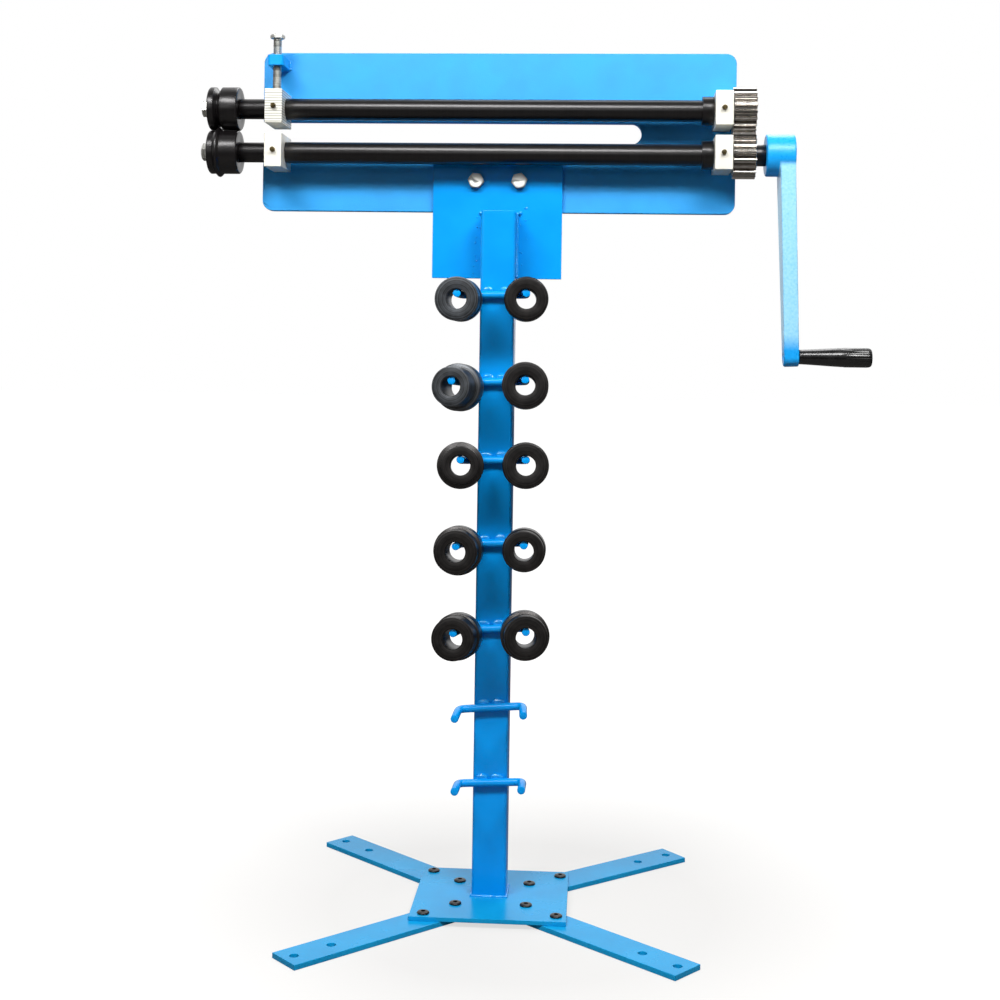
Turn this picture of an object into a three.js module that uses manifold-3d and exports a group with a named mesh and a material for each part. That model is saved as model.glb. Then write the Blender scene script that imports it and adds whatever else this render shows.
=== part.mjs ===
// Bead roller: two geared shafts with forming dies in a plate frame, on a post with spare dies.
// Millimetres, +Z up, +X from the dies to the crank, -Y towards the person at the machine.
import * as THREE from 'three';
import { mergeVertices } from 'three/addons/utils/BufferGeometryUtils.js';
import Module from 'manifold-3d';

const wasm = await Module();
wasm.setup();

// Clearances shared by the pieces
const fit = 0.3;
const runningFit = 0.4;
const overrun = 2;
const mergeDistance = 1e-4;

// Post, a square tube
const postWidth = 40;
const postWall = 2.5;
const postCorner = 4;
const postTop = 805.5;

// Foot: a plate on four flat bars
const legThickness = 6;
const legWidth = 43;
const legInner = 28;
const legTip = 285.5;
const legHoleReaches = [225, 272];
const legHoleRadius = 5;
const basePlateWidth = 176;
const basePlateDepth = 163;
const basePlateThickness = 5;
const baseSideShift = 3;
const baseForwardShift = 8;
const legs = [
  { name: 'front_left', sideX: -1, sideY: -1, degrees: 44.3 },
  { name: 'front_right', sideX: 1, sideY: -1, degrees: 40.8 },
  { name: 'rear_left', sideX: -1, sideY: 1, degrees: 42.2 },
  { name: 'rear_right', sideX: 1, sideY: 1, degrees: 39.5 },
];

// Button-head screws of the foot
const baseScrewEdge = 10;
const baseScrewReachShares = [0.541, 1];
const baseScrewRadius = 4;
const baseScrewHeadRadius = 7;
const baseScrewHeadHeight = 2.8;
const baseScrewSocketRadius = 2.9;
const baseScrewSocketDepth = 2.2;
const baseScrewShort = 1;
const baseScrewRimShare = 0.45;
const baseScrewShoulderShares = [0.85, 0.9];
const baseScrewCrownShare = 0.72;

// Mount plate between the post and the head plate
const mountPlateWidth = 153.5;
const mountPlateHeight = 153.5;
const mountPlateThickness = 6;
const mountPlateDrop = 77;
const mountSideShift = 3.9;
const mountBoltRise = 36.5;
const mountBoltSpacing = 51.3;

// Head plate with its throat
const headPlateWidth = 562.5;
const headPlateHeight = 189;
const headPlateThickness = 12;
const headPlateCorner = 12;
const headPlateLift = 2;
const headSideShift = 5.5;
const throatHeight = 25;
const throatDepth = 452;
const throatRise = 94;

// Hex bolts
const boltRadius = 5;
const boltAcrossFlats = 17;
const boltHeadHeight = 6.5;

// Spur gears
const gearModule = 2.5;
const gearTeeth = 20;
const gearWidth = 26.4;
const gearSpread = 1.1;
const gearPlateGap = 1;
const gearBlockGap = 0.9;
const pressureDegrees = 20;
const addendumShare = 1;
const dedendumShare = 1.25;

// Bearing blocks
const blockWidth = 20.5;
const blockHeight = 39.5;
const dieBlockInset = 13.4;
const gearBlockInset = 7.75;
const blockBoltDepth = 10;
const dieTravel = 8;

// Grease nipples
const nippleRadius = 3;
const nippleLength = 6.5;
const nippleNeckRadius = 1.6;
const nippleBallRadius = 2.5;
const nippleStemRadius = 2.2;
const nippleStemLength = 5;
const nippleSideShares = [1, 0.83, 0.6, 0.48, 0.38];

// Adjuster: a lug welded on the head plate and its screw
const lugWidth = 19.4;
const lugHeight = 12.5;
const lugDepth = 41;
const lugRise = 30.5;
const screwHeadLift = 20.5;
const screwAcrossFlats = 15;
const screwHeadHeight = 4.4;
const screwSeatDepth = 5;
const adjusterSideShift = 1.8;

// Shafts
const lowerArborRise = 65.6;
const shaftRadius = 12.5;
const journalRadius = 11.75;
const stubRadius = 11;
const collarRadius = 16.6;
const collarLength = 13.3;
const stubBoltDepth = 18;

// Dies
const dieRadius = 25.4;
const dieLength = 35.5;
const dieOverhang = 34.5;
const dieEdge = 1.2;
const beadOffset = 11.3;
const beadHalfWidth = 4.1;
const beadHeight = 3.7;
const grooveDepth = 5.2;
const ridgeShares = [-1, -0.6, 0, 0.6, 1];
const dieBoltRadius = 6;
const dieBoltAcrossFlats = 18;
const dieBoltHeadHeight = 9.3;

// Crank
const crankGap = 11.7;
const hubRadius = 24.4;
const hubLength = 33.4;
const hubEdge = 1.2;
const shaftInset = 2;
const crankRadius = 232.3;
const armThickness = 17.4;
const armRootHalfWidth = 22.4;
const armTipRadius = 11.3;
const armLeanDegrees = 2.1;
const armInset = 0.8;

// Grip
const gripLength = 83;
const gripNeckRadius = 8.4;
const gripBellyRadius = 11.3;
const gripEndRadius = 8.6;
const spindleRadius = 4;
const spindleReach = 68;
const spindleInset = 1;
const gripShares = [0.3, 0.62, 0.95, 0.985];
const gripWaistShare = 0.5;

// Hooks for the spare dies, from the top down, at shares of the height of the post. Each is bent by
// hand: its bar leans, its arms rise towards the front, and its left and right arm splay outwards
const rodRadius = 4.5;
const hookHalfSpan = 37.5;
const hookBend = 9;
const hookReach = 44;
const hooks = [
  { heightShare: 0.8783, leanDegrees: 0.6, riseDegrees: 0.5, splayDegrees: [3, 3], shift: -3.2 },
  { heightShare: 0.7536, leanDegrees: 1.6, riseDegrees: 3.9, splayDegrees: [13, 2], shift: -2.4 },
  { heightShare: 0.6414, leanDegrees: 0.9, riseDegrees: 4.6, splayDegrees: [-4, 2], shift: -0.6 },
  { heightShare: 0.5224, leanDegrees: 2, riseDegrees: 3, splayDegrees: [2, 1.2], shift: -1 },
  { heightShare: 0.4, leanDegrees: 2.4, riseDegrees: 4, splayDegrees: [7, 5.5], shift: 0.3 },
  { heightShare: 0.2869, leanDegrees: 4.4, riseDegrees: -1.5, splayDegrees: [1.5, 3], shift: 0 },
  { heightShare: 0.1794, leanDegrees: 3, riseDegrees: 3.4, splayDegrees: [0, 0.6], shift: 0.5 },
];

// Spare dies: the outline from the front face back, as shares of the length and real radii
const spareDieLength = 40;
const spareDieProud = 2.5;
const spareDieForms = {
  grooved: { radii: [25, 25, 21, 25, 25], shares: [0, 0.5, 0.6, 0.7, 1] },
  wideGrooved: { radii: [26.3, 26.3, 21, 26.3, 26.3], shares: [0, 0.4, 0.52, 0.64, 1] },
  plain: { radii: [23.8, 25, 25], shares: [0, 0.05, 1] },
  widePlain: { radii: [25.2, 26.3, 26.3], shares: [0, 0.05, 1] },
  stepped: { radii: [21.5, 21.5, 26.6, 26.6], shares: [0, 0.1, 0.12, 1] },
  smallStepped: { radii: [22.8, 22.8, 24.6, 24.6], shares: [0, 0.3, 0.33, 1] },
  flanged: { radii: [22.6, 22.6, 27.4, 27.4], shares: [0, 0.6, 0.62, 1] },
  wideFlanged: { radii: [24.8, 24.8, 28, 28], shares: [0, 0.5, 0.52, 1] },
  slimFlanged: { radii: [24.6, 24.6, 26.8, 26.8], shares: [0, 0.55, 0.57, 1] },
};
const spareDiePairs = [
  ['grooved', 'plain'],
  ['flanged', 'wideGrooved'],
  ['stepped', 'widePlain'],
  ['wideFlanged', 'smallStepped'],
  ['slimFlanged', 'wideFlanged'],
];

// Facets of the round pieces
const largeSides = 32;
const dieSides = 28;
const smallSides = 12;
const rodSides = 8;
const hexSides = 6;
const rodSteps = 30;
const cornerSteps = 5;
const postCornerSteps = 2;

// Places that follow from the sizes above
const postHalf = postWidth / 2;
const legTop = legThickness;
const baseTop = legTop + basePlateThickness;
const mountPlateBottom = postTop - mountPlateDrop;
const mountBack = postHalf + mountPlateThickness;
const headPlateBottom = postTop + headPlateLift;
const headFront = mountBack;
const headBack = headFront + headPlateThickness;
const headLeft = -headSideShift - headPlateWidth / 2;
const headRight = headLeft + headPlateWidth;
const throatMiddle = headPlateBottom + throatRise;
const gearPitchRadius = gearModule * gearTeeth / 2;
const gearOuterRadius = gearPitchRadius + gearModule * addendumShare;
const gearRootRadius = gearPitchRadius - gearModule * dedendumShare;
const arborStandOff = gearOuterRadius + gearPlateGap;
const arborY = headFront - arborStandOff;
const lowerZ = headPlateBottom + lowerArborRise;
const upperZ = lowerZ + gearModule * gearTeeth + gearSpread;
const blockDepth = 2 * arborStandOff;
const dieBlockLeft = headLeft + dieBlockInset;
const dieBlockX = dieBlockLeft + blockWidth / 2;
const gearBlockRight = headRight - gearBlockInset;
const gearBlockX = gearBlockRight - blockWidth / 2;
const gearLeft = gearBlockRight + gearBlockGap;
const gearRight = gearLeft + gearWidth;
const hubLeft = gearRight + crankGap;
const hubRight = hubLeft + hubLength;
const dieRight = dieBlockLeft - dieOverhang;
const dieLeft = dieRight - dieLength;
const stubEnd = dieLeft + fit;
const collarRight = gearBlockX - blockWidth / 2 - fit;
const collarLeft = collarRight - collarLength;
const hookBarY = -postHalf - rodRadius;
const dieBoreRadius = stubRadius + fit;

// Finishes
const bluePaint = { color: 0x1a93ee, roughness: 0.42, metalness: 0.1 };
const blackOxide = { color: 0x2a2a2c, roughness: 0.42, metalness: 0.7 };
const brightZinc = { color: 0xc9ccce, roughness: 0.3, metalness: 0.9 };
const groundSteel = { color: 0xbfc0bd, roughness: 0.38, metalness: 0.9 };
const gearSteel = { color: 0x5c5a58, roughness: 0.45, metalness: 0.85 };
const nippleBrass = { color: 0xb9a06a, roughness: 0.35, metalness: 0.9 };
const blackPlastic = { color: 0x101113, roughness: 0.3, metalness: 0 };

const radians = THREE.MathUtils.degToRad;

// Solids and booleans
function toSolid(geometry) {
  const bare = geometry.clone();
  bare.deleteAttribute('normal');
  bare.deleteAttribute('uv');
  const merged = mergeVertices(bare, mergeDistance);
  const index = Array.from(merged.index.array);
  const kept = [];
  for (let i = 0; i < index.length; i += 3) {
    const [a, b, c] = index.slice(i, i + 3);
    if (a !== b && b !== c && c !== a) kept.push(a, b, c);
  }
  return new wasm.Manifold(new wasm.Mesh({
    numProp: 3,
    vertProperties: Float32Array.from(merged.attributes.position.array),
    triVerts: Uint32Array.from(kept),
  }));
}

function fromSolid(solid) {
  const mesh = solid.getMesh();
  const geometry = new THREE.BufferGeometry();
  geometry.setAttribute('position', new THREE.BufferAttribute(mesh.vertProperties, mesh.numProp));
  geometry.setIndex(new THREE.BufferAttribute(mesh.triVerts, 1));
  geometry.computeVertexNormals();
  return geometry;
}

function cut(body, tools) {
  return fromSolid(tools.reduce((solid, tool) => solid.subtract(toSolid(tool)), toSolid(body)));
}

function join(body, additions) {
  return fromSolid(additions.reduce((solid, addition) => solid.add(toSolid(addition)), toSolid(body)));
}

// A box between two corners
function box([x0, y0, z0], [x1, y1, z1]) {
  const geometry = new THREE.BoxGeometry(x1 - x0, y1 - y0, z1 - z0);
  return geometry.translate((x0 + x1) / 2, (y0 + y1) / 2, (z0 + z1) / 2);
}

// A turned shape: points are [place along the axis, radius], the first and last on the axis or alike
function turned(axis, points, sides) {
  const profile = points.map(([along, radius]) => new THREE.Vector2(radius, along));
  const geometry = new THREE.LatheGeometry(profile, sides);
  if (axis === 'x') geometry.rotateZ(-Math.PI / 2);
  if (axis === 'z') geometry.rotateX(Math.PI / 2);
  return geometry;
}

function rod(axis, radius, start, end, sides) {
  return turned(axis, [[start, 0], [start, radius], [end, radius], [end, 0]], sides);
}

// A hexagonal bolt along one axis, its head at the start and its shank running to the end
function hexBolt(axis, { acrossFlats, headHeight, radius }, start, end) {
  const direction = Math.sign(end - start);
  const headEnd = start + direction * headHeight;
  const headRadius = acrossFlats / 2 / Math.cos(Math.PI / hexSides);
  const head = rod(axis, headRadius, Math.min(start, headEnd), Math.max(start, headEnd), hexSides);
  const shankStart = start + direction * headHeight / 2;
  const shank = rod(axis, radius, Math.min(shankStart, end), Math.max(shankStart, end), smallSides);
  return join(head, [shank]);
}

function roundedRectangle(width, height, corner) {
  const shape = new THREE.Shape();
  const right = width / 2 - corner;
  const top = height / 2 - corner;
  shape.absarc(right, top, corner, 0, Math.PI / 2);
  shape.absarc(-right, top, corner, Math.PI / 2, Math.PI);
  shape.absarc(-right, -top, corner, Math.PI, Math.PI * 1.5);
  shape.absarc(right, -top, corner, Math.PI * 1.5, Math.PI * 2);
  return shape;
}

function polygon(points) {
  return new THREE.Shape(points.map(([x, y]) => new THREE.Vector2(x, y)));
}

function rectangle(x0, y0, x1, y1) {
  return polygon([[x0, y0], [x1, y0], [x1, y1], [x0, y1]]);
}

function roundHole(x, y, radius) {
  const hole = new THREE.Path();
  hole.absarc(x, y, radius, 0, Math.PI);
  hole.absarc(x, y, radius, Math.PI, Math.PI * 2);
  return hole;
}

function extrude(shape, depth, curveSegments = cornerSteps) {
  return new THREE.ExtrudeGeometry(shape, { depth, curveSegments, bevelEnabled: false });
}

// A shape drawn in the YZ plane and given a thickness along X
function extrudeAlongX(shape, depth, curveSegments = cornerSteps) {
  const upright = new THREE.Matrix4().makeBasis(
    new THREE.Vector3(0, 1, 0),
    new THREE.Vector3(0, 0, 1),
    new THREE.Vector3(1, 0, 0),
  );
  return extrude(shape, depth, curveSegments).applyMatrix4(upright);
}

// A panel standing in the XZ plane, its back face at the given Y
function panel(shape, thickness, backY) {
  return extrude(shape, thickness).rotateX(Math.PI / 2).translate(0, backY, 0);
}

const beadRoller = new THREE.Group();

function add(name, geometry, finish) {
  const mesh = new THREE.Mesh(geometry, new THREE.MeshStandardMaterial(finish));
  mesh.name = name;
  beadRoller.add(mesh);
}

// Post
function makePost() {
  const section = roundedRectangle(postWidth, postWidth, postCorner);
  const inside = postWidth - 2 * postWall;
  section.holes.push(roundedRectangle(inside, inside, postCorner - postWall));
  const tube = extrude(section, postTop - baseTop, postCornerSteps);
  add('post', tube.translate(0, 0, baseTop), bluePaint);
}

// Foot
function legPlace({ sideX, sideY, degrees }, reach) {
  const angle = radians(degrees);
  return [
    baseSideShift + sideX * Math.cos(angle) * reach,
    -baseForwardShift + sideY * Math.sin(angle) * reach,
  ];
}

// How far from the middle of the foot each leg's screws stand, set by the leg that has the least plate
function screwReaches() {
  const sideRoom = basePlateWidth / 2 - baseScrewEdge;
  const frontRoom = basePlateDepth / 2 - baseScrewEdge;
  const rooms = legs.map(({ degrees }) => {
    const angle = radians(degrees);
    return Math.min(sideRoom / Math.cos(angle), frontRoom / Math.sin(angle));
  });
  return baseScrewReachShares.map((share) => share * Math.min(...rooms));
}

function makeFoot() {
  const screwHoleRadius = baseScrewRadius + runningFit;
  const reaches = screwReaches();
  const screwPlaces = [];
  for (const leg of legs) {
    const bar = rectangle(legInner, -legWidth / 2, legTip, legWidth / 2);
    for (const reach of legHoleReaches) bar.holes.push(roundHole(reach, 0, legHoleRadius));
    for (const reach of reaches) bar.holes.push(roundHole(reach, 0, screwHoleRadius));
    const angle = radians(leg.degrees);
    const turn = Math.atan2(leg.sideY * Math.sin(angle), leg.sideX * Math.cos(angle));
    const geometry = extrude(bar, legThickness).rotateZ(turn);
    add(`leg_${leg.name}`, geometry.translate(baseSideShift, -baseForwardShift, 0), bluePaint);
    reaches.forEach((reach, i) => {
      screwPlaces.push([`${leg.name}_${i + 1}`, legPlace(leg, reach)]);
    });
  }

  const left = baseSideShift - basePlateWidth / 2;
  const front = -baseForwardShift - basePlateDepth / 2;
  const plate = rectangle(left, front, left + basePlateWidth, front + basePlateDepth);
  for (const [, [x, y]] of screwPlaces) plate.holes.push(roundHole(x, y, screwHoleRadius));
  add('base_plate', extrude(plate, basePlateThickness).translate(0, 0, legTop), bluePaint);

  const [shoulderHeight, shoulderWidth] = baseScrewShoulderShares;
  for (const [name, [x, y]] of screwPlaces) {
    const head = baseTop + baseScrewHeadHeight;
    const body = turned('z', [
      [baseScrewShort, 0],
      [baseScrewShort, baseScrewRadius],
      [baseTop, baseScrewRadius],
      [baseTop, baseScrewHeadRadius],
      [baseTop + baseScrewHeadHeight * baseScrewRimShare, baseScrewHeadRadius],
      [baseTop + baseScrewHeadHeight * shoulderHeight, baseScrewHeadRadius * shoulderWidth],
      [head, baseScrewHeadRadius * baseScrewCrownShare],
      [head, 0],
    ], smallSides);
    const socket = rod('z', baseScrewSocketRadius, head - baseScrewSocketDepth, head + overrun, hexSides);
    add(`base_screw_${name}`, cut(body, [socket]).translate(x, y, 0), blackOxide);
  }
}

// Head and mount plates
function makePlates() {
  const boltHoleRadius = boltRadius + runningFit;
  const mountBoltZ = headPlateBottom + mountBoltRise;
  const mountBoltXs = [-mountBoltSpacing / 2, mountBoltSpacing / 2].map((x) => x - mountSideShift);

  const outline = new THREE.Shape();
  const top = headPlateBottom + headPlateHeight;
  const throatEnd = headLeft + throatDepth - throatHeight / 2;
  const corner = headPlateCorner;
  const right = headRight - corner;
  const left = headLeft + corner;
  outline.moveTo(headLeft, throatMiddle - throatHeight / 2);
  outline.lineTo(headLeft, headPlateBottom + corner);
  outline.absarc(left, headPlateBottom + corner, corner, Math.PI, Math.PI * 1.5);
  outline.absarc(right, headPlateBottom + corner, corner, Math.PI * 1.5, Math.PI * 2);
  outline.absarc(right, top - corner, corner, 0, Math.PI / 2);
  outline.absarc(left, top - corner, corner, Math.PI / 2, Math.PI);
  outline.lineTo(headLeft, throatMiddle + throatHeight / 2);
  outline.lineTo(throatEnd, throatMiddle + throatHeight / 2);
  outline.absarc(throatEnd, throatMiddle, throatHeight / 2, Math.PI / 2, -Math.PI / 2, true);
  outline.closePath();
  for (const x of mountBoltXs) outline.holes.push(roundHole(x, mountBoltZ, boltHoleRadius));
  outline.holes.push(roundHole(dieBlockX, lowerZ, boltHoleRadius));
  outline.holes.push(roundHole(gearBlockX, lowerZ, boltHoleRadius));
  outline.holes.push(roundHole(gearBlockX, upperZ, boltHoleRadius));
  const guideSlot = new THREE.Path();
  guideSlot.absarc(dieBlockX, upperZ + dieTravel, boltHoleRadius, 0, Math.PI);
  guideSlot.absarc(dieBlockX, upperZ, boltHoleRadius, Math.PI, Math.PI * 2);
  outline.holes.push(guideSlot);
  add('head_plate', panel(outline, headPlateThickness, headBack), bluePaint);

  const mountLeft = -mountSideShift - mountPlateWidth / 2;
  const mountTop = mountPlateBottom + mountPlateHeight;
  const mount = rectangle(mountLeft, mountPlateBottom, mountLeft + mountPlateWidth, mountTop);
  for (const x of mountBoltXs) mount.holes.push(roundHole(x, mountBoltZ, boltHoleRadius));
  add('mount_plate', panel(mount, mountPlateThickness, mountBack), bluePaint);

  const size = { acrossFlats: boltAcrossFlats, headHeight: boltHeadHeight, radius: boltRadius };
  const names = ['mount_bolt_left', 'mount_bolt_right'];
  mountBoltXs.forEach((x, i) => {
    const bolt = hexBolt('y', size, postHalf - boltHeadHeight, headBack);
    add(names[i], bolt.translate(x, 0, mountBoltZ), brightZinc);
  });
}

// Bearing blocks with their nipples and the bolts that hold them from behind
function makeBlock(name, x, z, clearance) {
  const front = headFront - blockDepth;
  const back = headFront - clearance;
  const bore = (x < 0 ? journalRadius : shaftRadius) + runningFit;
  const boltHoleRadius = boltRadius + fit;
  const stemHole = nippleStemRadius + fit;
  const tools = [
    rod('x', bore, -blockWidth, blockWidth, largeSides).translate(x, arborY, z),
    rod('y', boltHoleRadius, back - blockBoltDepth, back + overrun, smallSides).translate(x, 0, z),
    rod('y', stemHole, front - overrun, front + nippleStemLength + fit, smallSides).translate(x, 0, z),
  ];
  if (name === 'upper_die_end') {
    const seat = rod('z', boltRadius + runningFit, -screwSeatDepth, overrun, smallSides);
    tools.push(seat.translate(x - adjusterSideShift, arborY, z + blockHeight / 2));
  }
  const body = box(
    [x - blockWidth / 2, front, z - blockHeight / 2],
    [x + blockWidth / 2, back, z + blockHeight / 2],
  );
  add(`block_${name}`, cut(body, tools), groundSteel);

  const places = nippleSideShares.map((share) => front - nippleLength * share);
  const [tip, ballFront, ballBack, neck, flange] = places;
  const nipple = turned('y', [
    [tip, 0],
    [tip, nippleNeckRadius],
    [ballFront, nippleBallRadius],
    [ballBack, nippleBallRadius],
    [neck, nippleNeckRadius],
    [flange, nippleRadius],
    [front, nippleRadius],
    [front, nippleStemRadius],
    [front + nippleStemLength, nippleStemRadius],
    [front + nippleStemLength, 0],
  ], rodSides);
  add(`nipple_${name}`, nipple.translate(x, 0, z), nippleBrass);

  const size = { acrossFlats: boltAcrossFlats, headHeight: boltHeadHeight, radius: boltRadius };
  const bolt = hexBolt('y', size, headBack + clearance + boltHeadHeight, back - blockBoltDepth + fit);
  add(`block_bolt_${name}`, bolt.translate(x, 0, z), brightZinc);
}

function makeBlocks() {
  makeBlock('upper_die_end', dieBlockX, upperZ, fit);
  makeBlock('lower_die_end', dieBlockX, lowerZ, 0);
  makeBlock('upper_gear_end', gearBlockX, upperZ, fit);
  makeBlock('lower_gear_end', gearBlockX, lowerZ, 0);
}

// Adjuster lug and screw
function makeAdjuster() {
  const blockTop = upperZ + blockHeight / 2;
  const lugBottom = blockTop + lugRise;
  const lugTop = lugBottom + lugHeight;
  const middle = dieBlockX - adjusterSideShift;
  const hole = rod('z', boltRadius + runningFit, lugBottom - overrun, lugTop + overrun, smallSides);
  const lug = box(
    [middle - lugWidth / 2, headFront - lugDepth, lugBottom],
    [middle + lugWidth / 2, headFront, lugTop],
  );
  add('adjuster_lug', cut(lug, [hole.translate(middle, arborY, 0)]), bluePaint);

  const size = { acrossFlats: screwAcrossFlats, headHeight: screwHeadHeight, radius: boltRadius };
  const screwTop = lugTop + screwHeadLift + screwHeadHeight;
  const screw = hexBolt('z', size, screwTop, blockTop - screwSeatDepth + fit);
  add('adjusting_screw', screw.translate(middle, arborY, 0), brightZinc);
}

// Shafts: the die stub, the journal, the long middle and the gear end behind its collar
function makeShaft(name, z, end) {
  const journalEnd = dieBlockLeft + blockWidth + fit;
  const body = turned('x', [
    [stubEnd, 0],
    [stubEnd, stubRadius],
    [dieRight, stubRadius],
    [dieRight, journalRadius],
    [journalEnd, journalRadius],
    [journalEnd, shaftRadius],
    [collarLeft, shaftRadius],
    [collarLeft, collarRadius],
    [collarRight, collarRadius],
    [collarRight, shaftRadius],
    [end, shaftRadius],
    [end, 0],
  ], largeSides);
  const tapped = rod('x', dieBoltRadius + fit, stubEnd - overrun, stubEnd + stubBoltDepth, smallSides);
  add(name, cut(body, [tapped]).translate(0, arborY, z), blackOxide);
}

// Forming dies: a ring with rounded edges and, part of the way along, a bead or a groove
function makeDie(name, z, relief) {
  const beadX = dieLeft + beadOffset;
  const ridge = ridgeShares.map((share) => {
    const height = relief > 0 ? Math.cos(share * Math.PI / 2) : 1 - Math.abs(share);
    return [beadX + share * beadHalfWidth, dieRadius + relief * height];
  });
  const body = turned('x', [
    [dieLeft, dieBoreRadius],
    [dieLeft, dieRadius - dieEdge],
    [dieLeft + dieEdge, dieRadius],
    ...ridge,
    [dieRight - dieEdge, dieRadius],
    [dieRight, dieRadius - dieEdge],
    [dieRight, dieBoreRadius],
    [dieLeft, dieBoreRadius],
  ], largeSides);
  add(name, body.translate(0, arborY, z), blackOxide);
}

function makeDieBolt(name, z) {
  const size = { acrossFlats: dieBoltAcrossFlats, headHeight: dieBoltHeadHeight, radius: dieBoltRadius };
  const bolt = hexBolt('x', size, dieLeft - dieBoltHeadHeight, stubEnd + stubBoltDepth - fit);
  add(name, bolt.translate(0, arborY, z), brightZinc);
}

// Spur gears: each flank runs through the root, pitch and outer circles
function involute(angle) {
  return Math.tan(angle) - angle;
}

function toothHalfAngle(radius) {
  const pressure = radians(pressureDegrees);
  const baseRadius = gearPitchRadius * Math.cos(pressure);
  const local = Math.acos(Math.min(1, baseRadius / radius));
  return Math.PI / 2 / gearTeeth + involute(pressure) - involute(local);
}

function makeGear(name, z, turn) {
  const flank = [gearRootRadius, gearPitchRadius, gearOuterRadius];
  const points = [];
  for (let tooth = 0; tooth < gearTeeth; tooth += 1) {
    const middle = turn + tooth * 2 * Math.PI / gearTeeth;
    const rising = flank.map((radius) => [radius, middle - toothHalfAngle(radius)]);
    const falling = flank.map((radius) => [radius, middle + toothHalfAngle(radius)]).reverse();
    for (const [radius, angle] of [...rising, ...falling]) {
      points.push([radius * Math.cos(angle), radius * Math.sin(angle)]);
    }
  }
  const outline = polygon(points);
  outline.holes.push(roundHole(0, 0, shaftRadius + fit));
  const gear = extrudeAlongX(outline, gearWidth, largeSides / 4);
  add(name, gear.translate(gearLeft, arborY, z), gearSteel);
}

// Crank: hub, leaning arm and the seat of the grip in one casting
function makeCrank() {
  const hub = turned('x', [
    [hubLeft, 0],
    [hubLeft, hubRadius - hubEdge],
    [hubLeft + hubEdge, hubRadius],
    [hubRight - hubEdge, hubRadius],
    [hubRight, hubRadius - hubEdge],
    [hubRight, 0],
  ], largeSides);

  const taper = Math.asin((armRootHalfWidth - armTipRadius) / crankRadius);
  const outline = new THREE.Shape();
  outline.absarc(0, 0, armRootHalfWidth, -taper, Math.PI + taper);
  outline.absarc(0, -crankRadius, armTipRadius, Math.PI + taper, 2 * Math.PI - taper);
  outline.closePath();
  const arm = extrudeAlongX(outline, armThickness);
  arm.translate(-armThickness, 0, 0);
  arm.rotateY(-radians(armLeanDegrees));
  arm.translate(hubRight - armInset, 0, 0);

  const lean = Math.sin(radians(armLeanDegrees)) * crankRadius;
  const seatX = hubRight - armInset + lean;
  const shaftHole = rod('x', shaftRadius + fit, hubLeft - overrun, hubRight + overrun, largeSides);
  const armNear = seatX - 2 * armThickness;
  const spindleHole = rod('x', spindleRadius + fit, armNear, seatX + armThickness, smallSides);
  const casting = cut(join(hub, [arm]), [shaftHole, spindleHole.translate(0, 0, -crankRadius)]);
  add('crank_arm', casting.translate(0, arborY, lowerZ), bluePaint);

  const gripLeft = seatX + fit;
  const gripRight = gripLeft + gripLength;
  const [waist, belly, bellyEnd, edge] = gripShares.map((share) => gripLeft + gripLength * share);
  const waistRadius = gripNeckRadius + (gripBellyRadius - gripNeckRadius) * gripWaistShare;
  const gripZ = lowerZ - crankRadius;
  const boreRadius = spindleRadius + runningFit;
  const grip = turned('x', [
    [gripLeft, boreRadius],
    [gripLeft, gripNeckRadius],
    [waist, waistRadius],
    [belly, gripBellyRadius],
    [bellyEnd, gripBellyRadius],
    [edge, (gripBellyRadius + gripEndRadius) / 2],
    [gripRight, gripEndRadius],
    [gripRight, 0],
    [gripLeft + spindleReach + runningFit, 0],
    [gripLeft + spindleReach + runningFit, boreRadius],
    [gripLeft, boreRadius],
  ], dieSides);
  add('grip', grip.translate(0, arborY, gripZ), blackPlastic);

  const spindleLeft = seatX - armThickness + spindleInset;
  const spindle = rod('x', spindleRadius, spindleLeft, gripLeft + spindleReach, smallSides);
  add('grip_spindle', spindle.translate(0, arborY, gripZ), brightZinc);
}

// One arm of a hook in the hook's own plane, side -1 on the left: where its bend leaves the bar, the
// corner that the bend rounds off, where the straight arm starts, and its tip
function hookArm(side, degrees) {
  const splay = radians(degrees);
  const bar = hookHalfSpan - hookBend;
  const startX = bar + hookBend * Math.cos(splay);
  const startY = -hookBend + hookBend * Math.sin(splay);
  const straight = hookReach - hookBend;
  const cornerX = startX + startY * Math.tan(splay);
  const tipX = startX + straight * Math.sin(splay);
  const tipY = startY - straight * Math.cos(splay);
  return {
    bar: new THREE.Vector3(side * bar, 0, 0),
    corner: new THREE.Vector3(side * cornerX, 0, 0),
    start: new THREE.Vector3(side * startX, startY, 0),
    tip: new THREE.Vector3(side * tipX, tipY, 0),
  };
}

// From a hook's own plane to its place on the front of the post
function hookPlace({ heightShare, leanDegrees, riseDegrees, shift }) {
  const rise = new THREE.Matrix4().makeRotationX(-radians(riseDegrees));
  const lean = new THREE.Matrix4().makeRotationY(-radians(leanDegrees));
  const place = new THREE.Matrix4().makeTranslation(shift, hookBarY, heightShare * postTop);
  return place.multiply(lean).multiply(rise);
}

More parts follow.
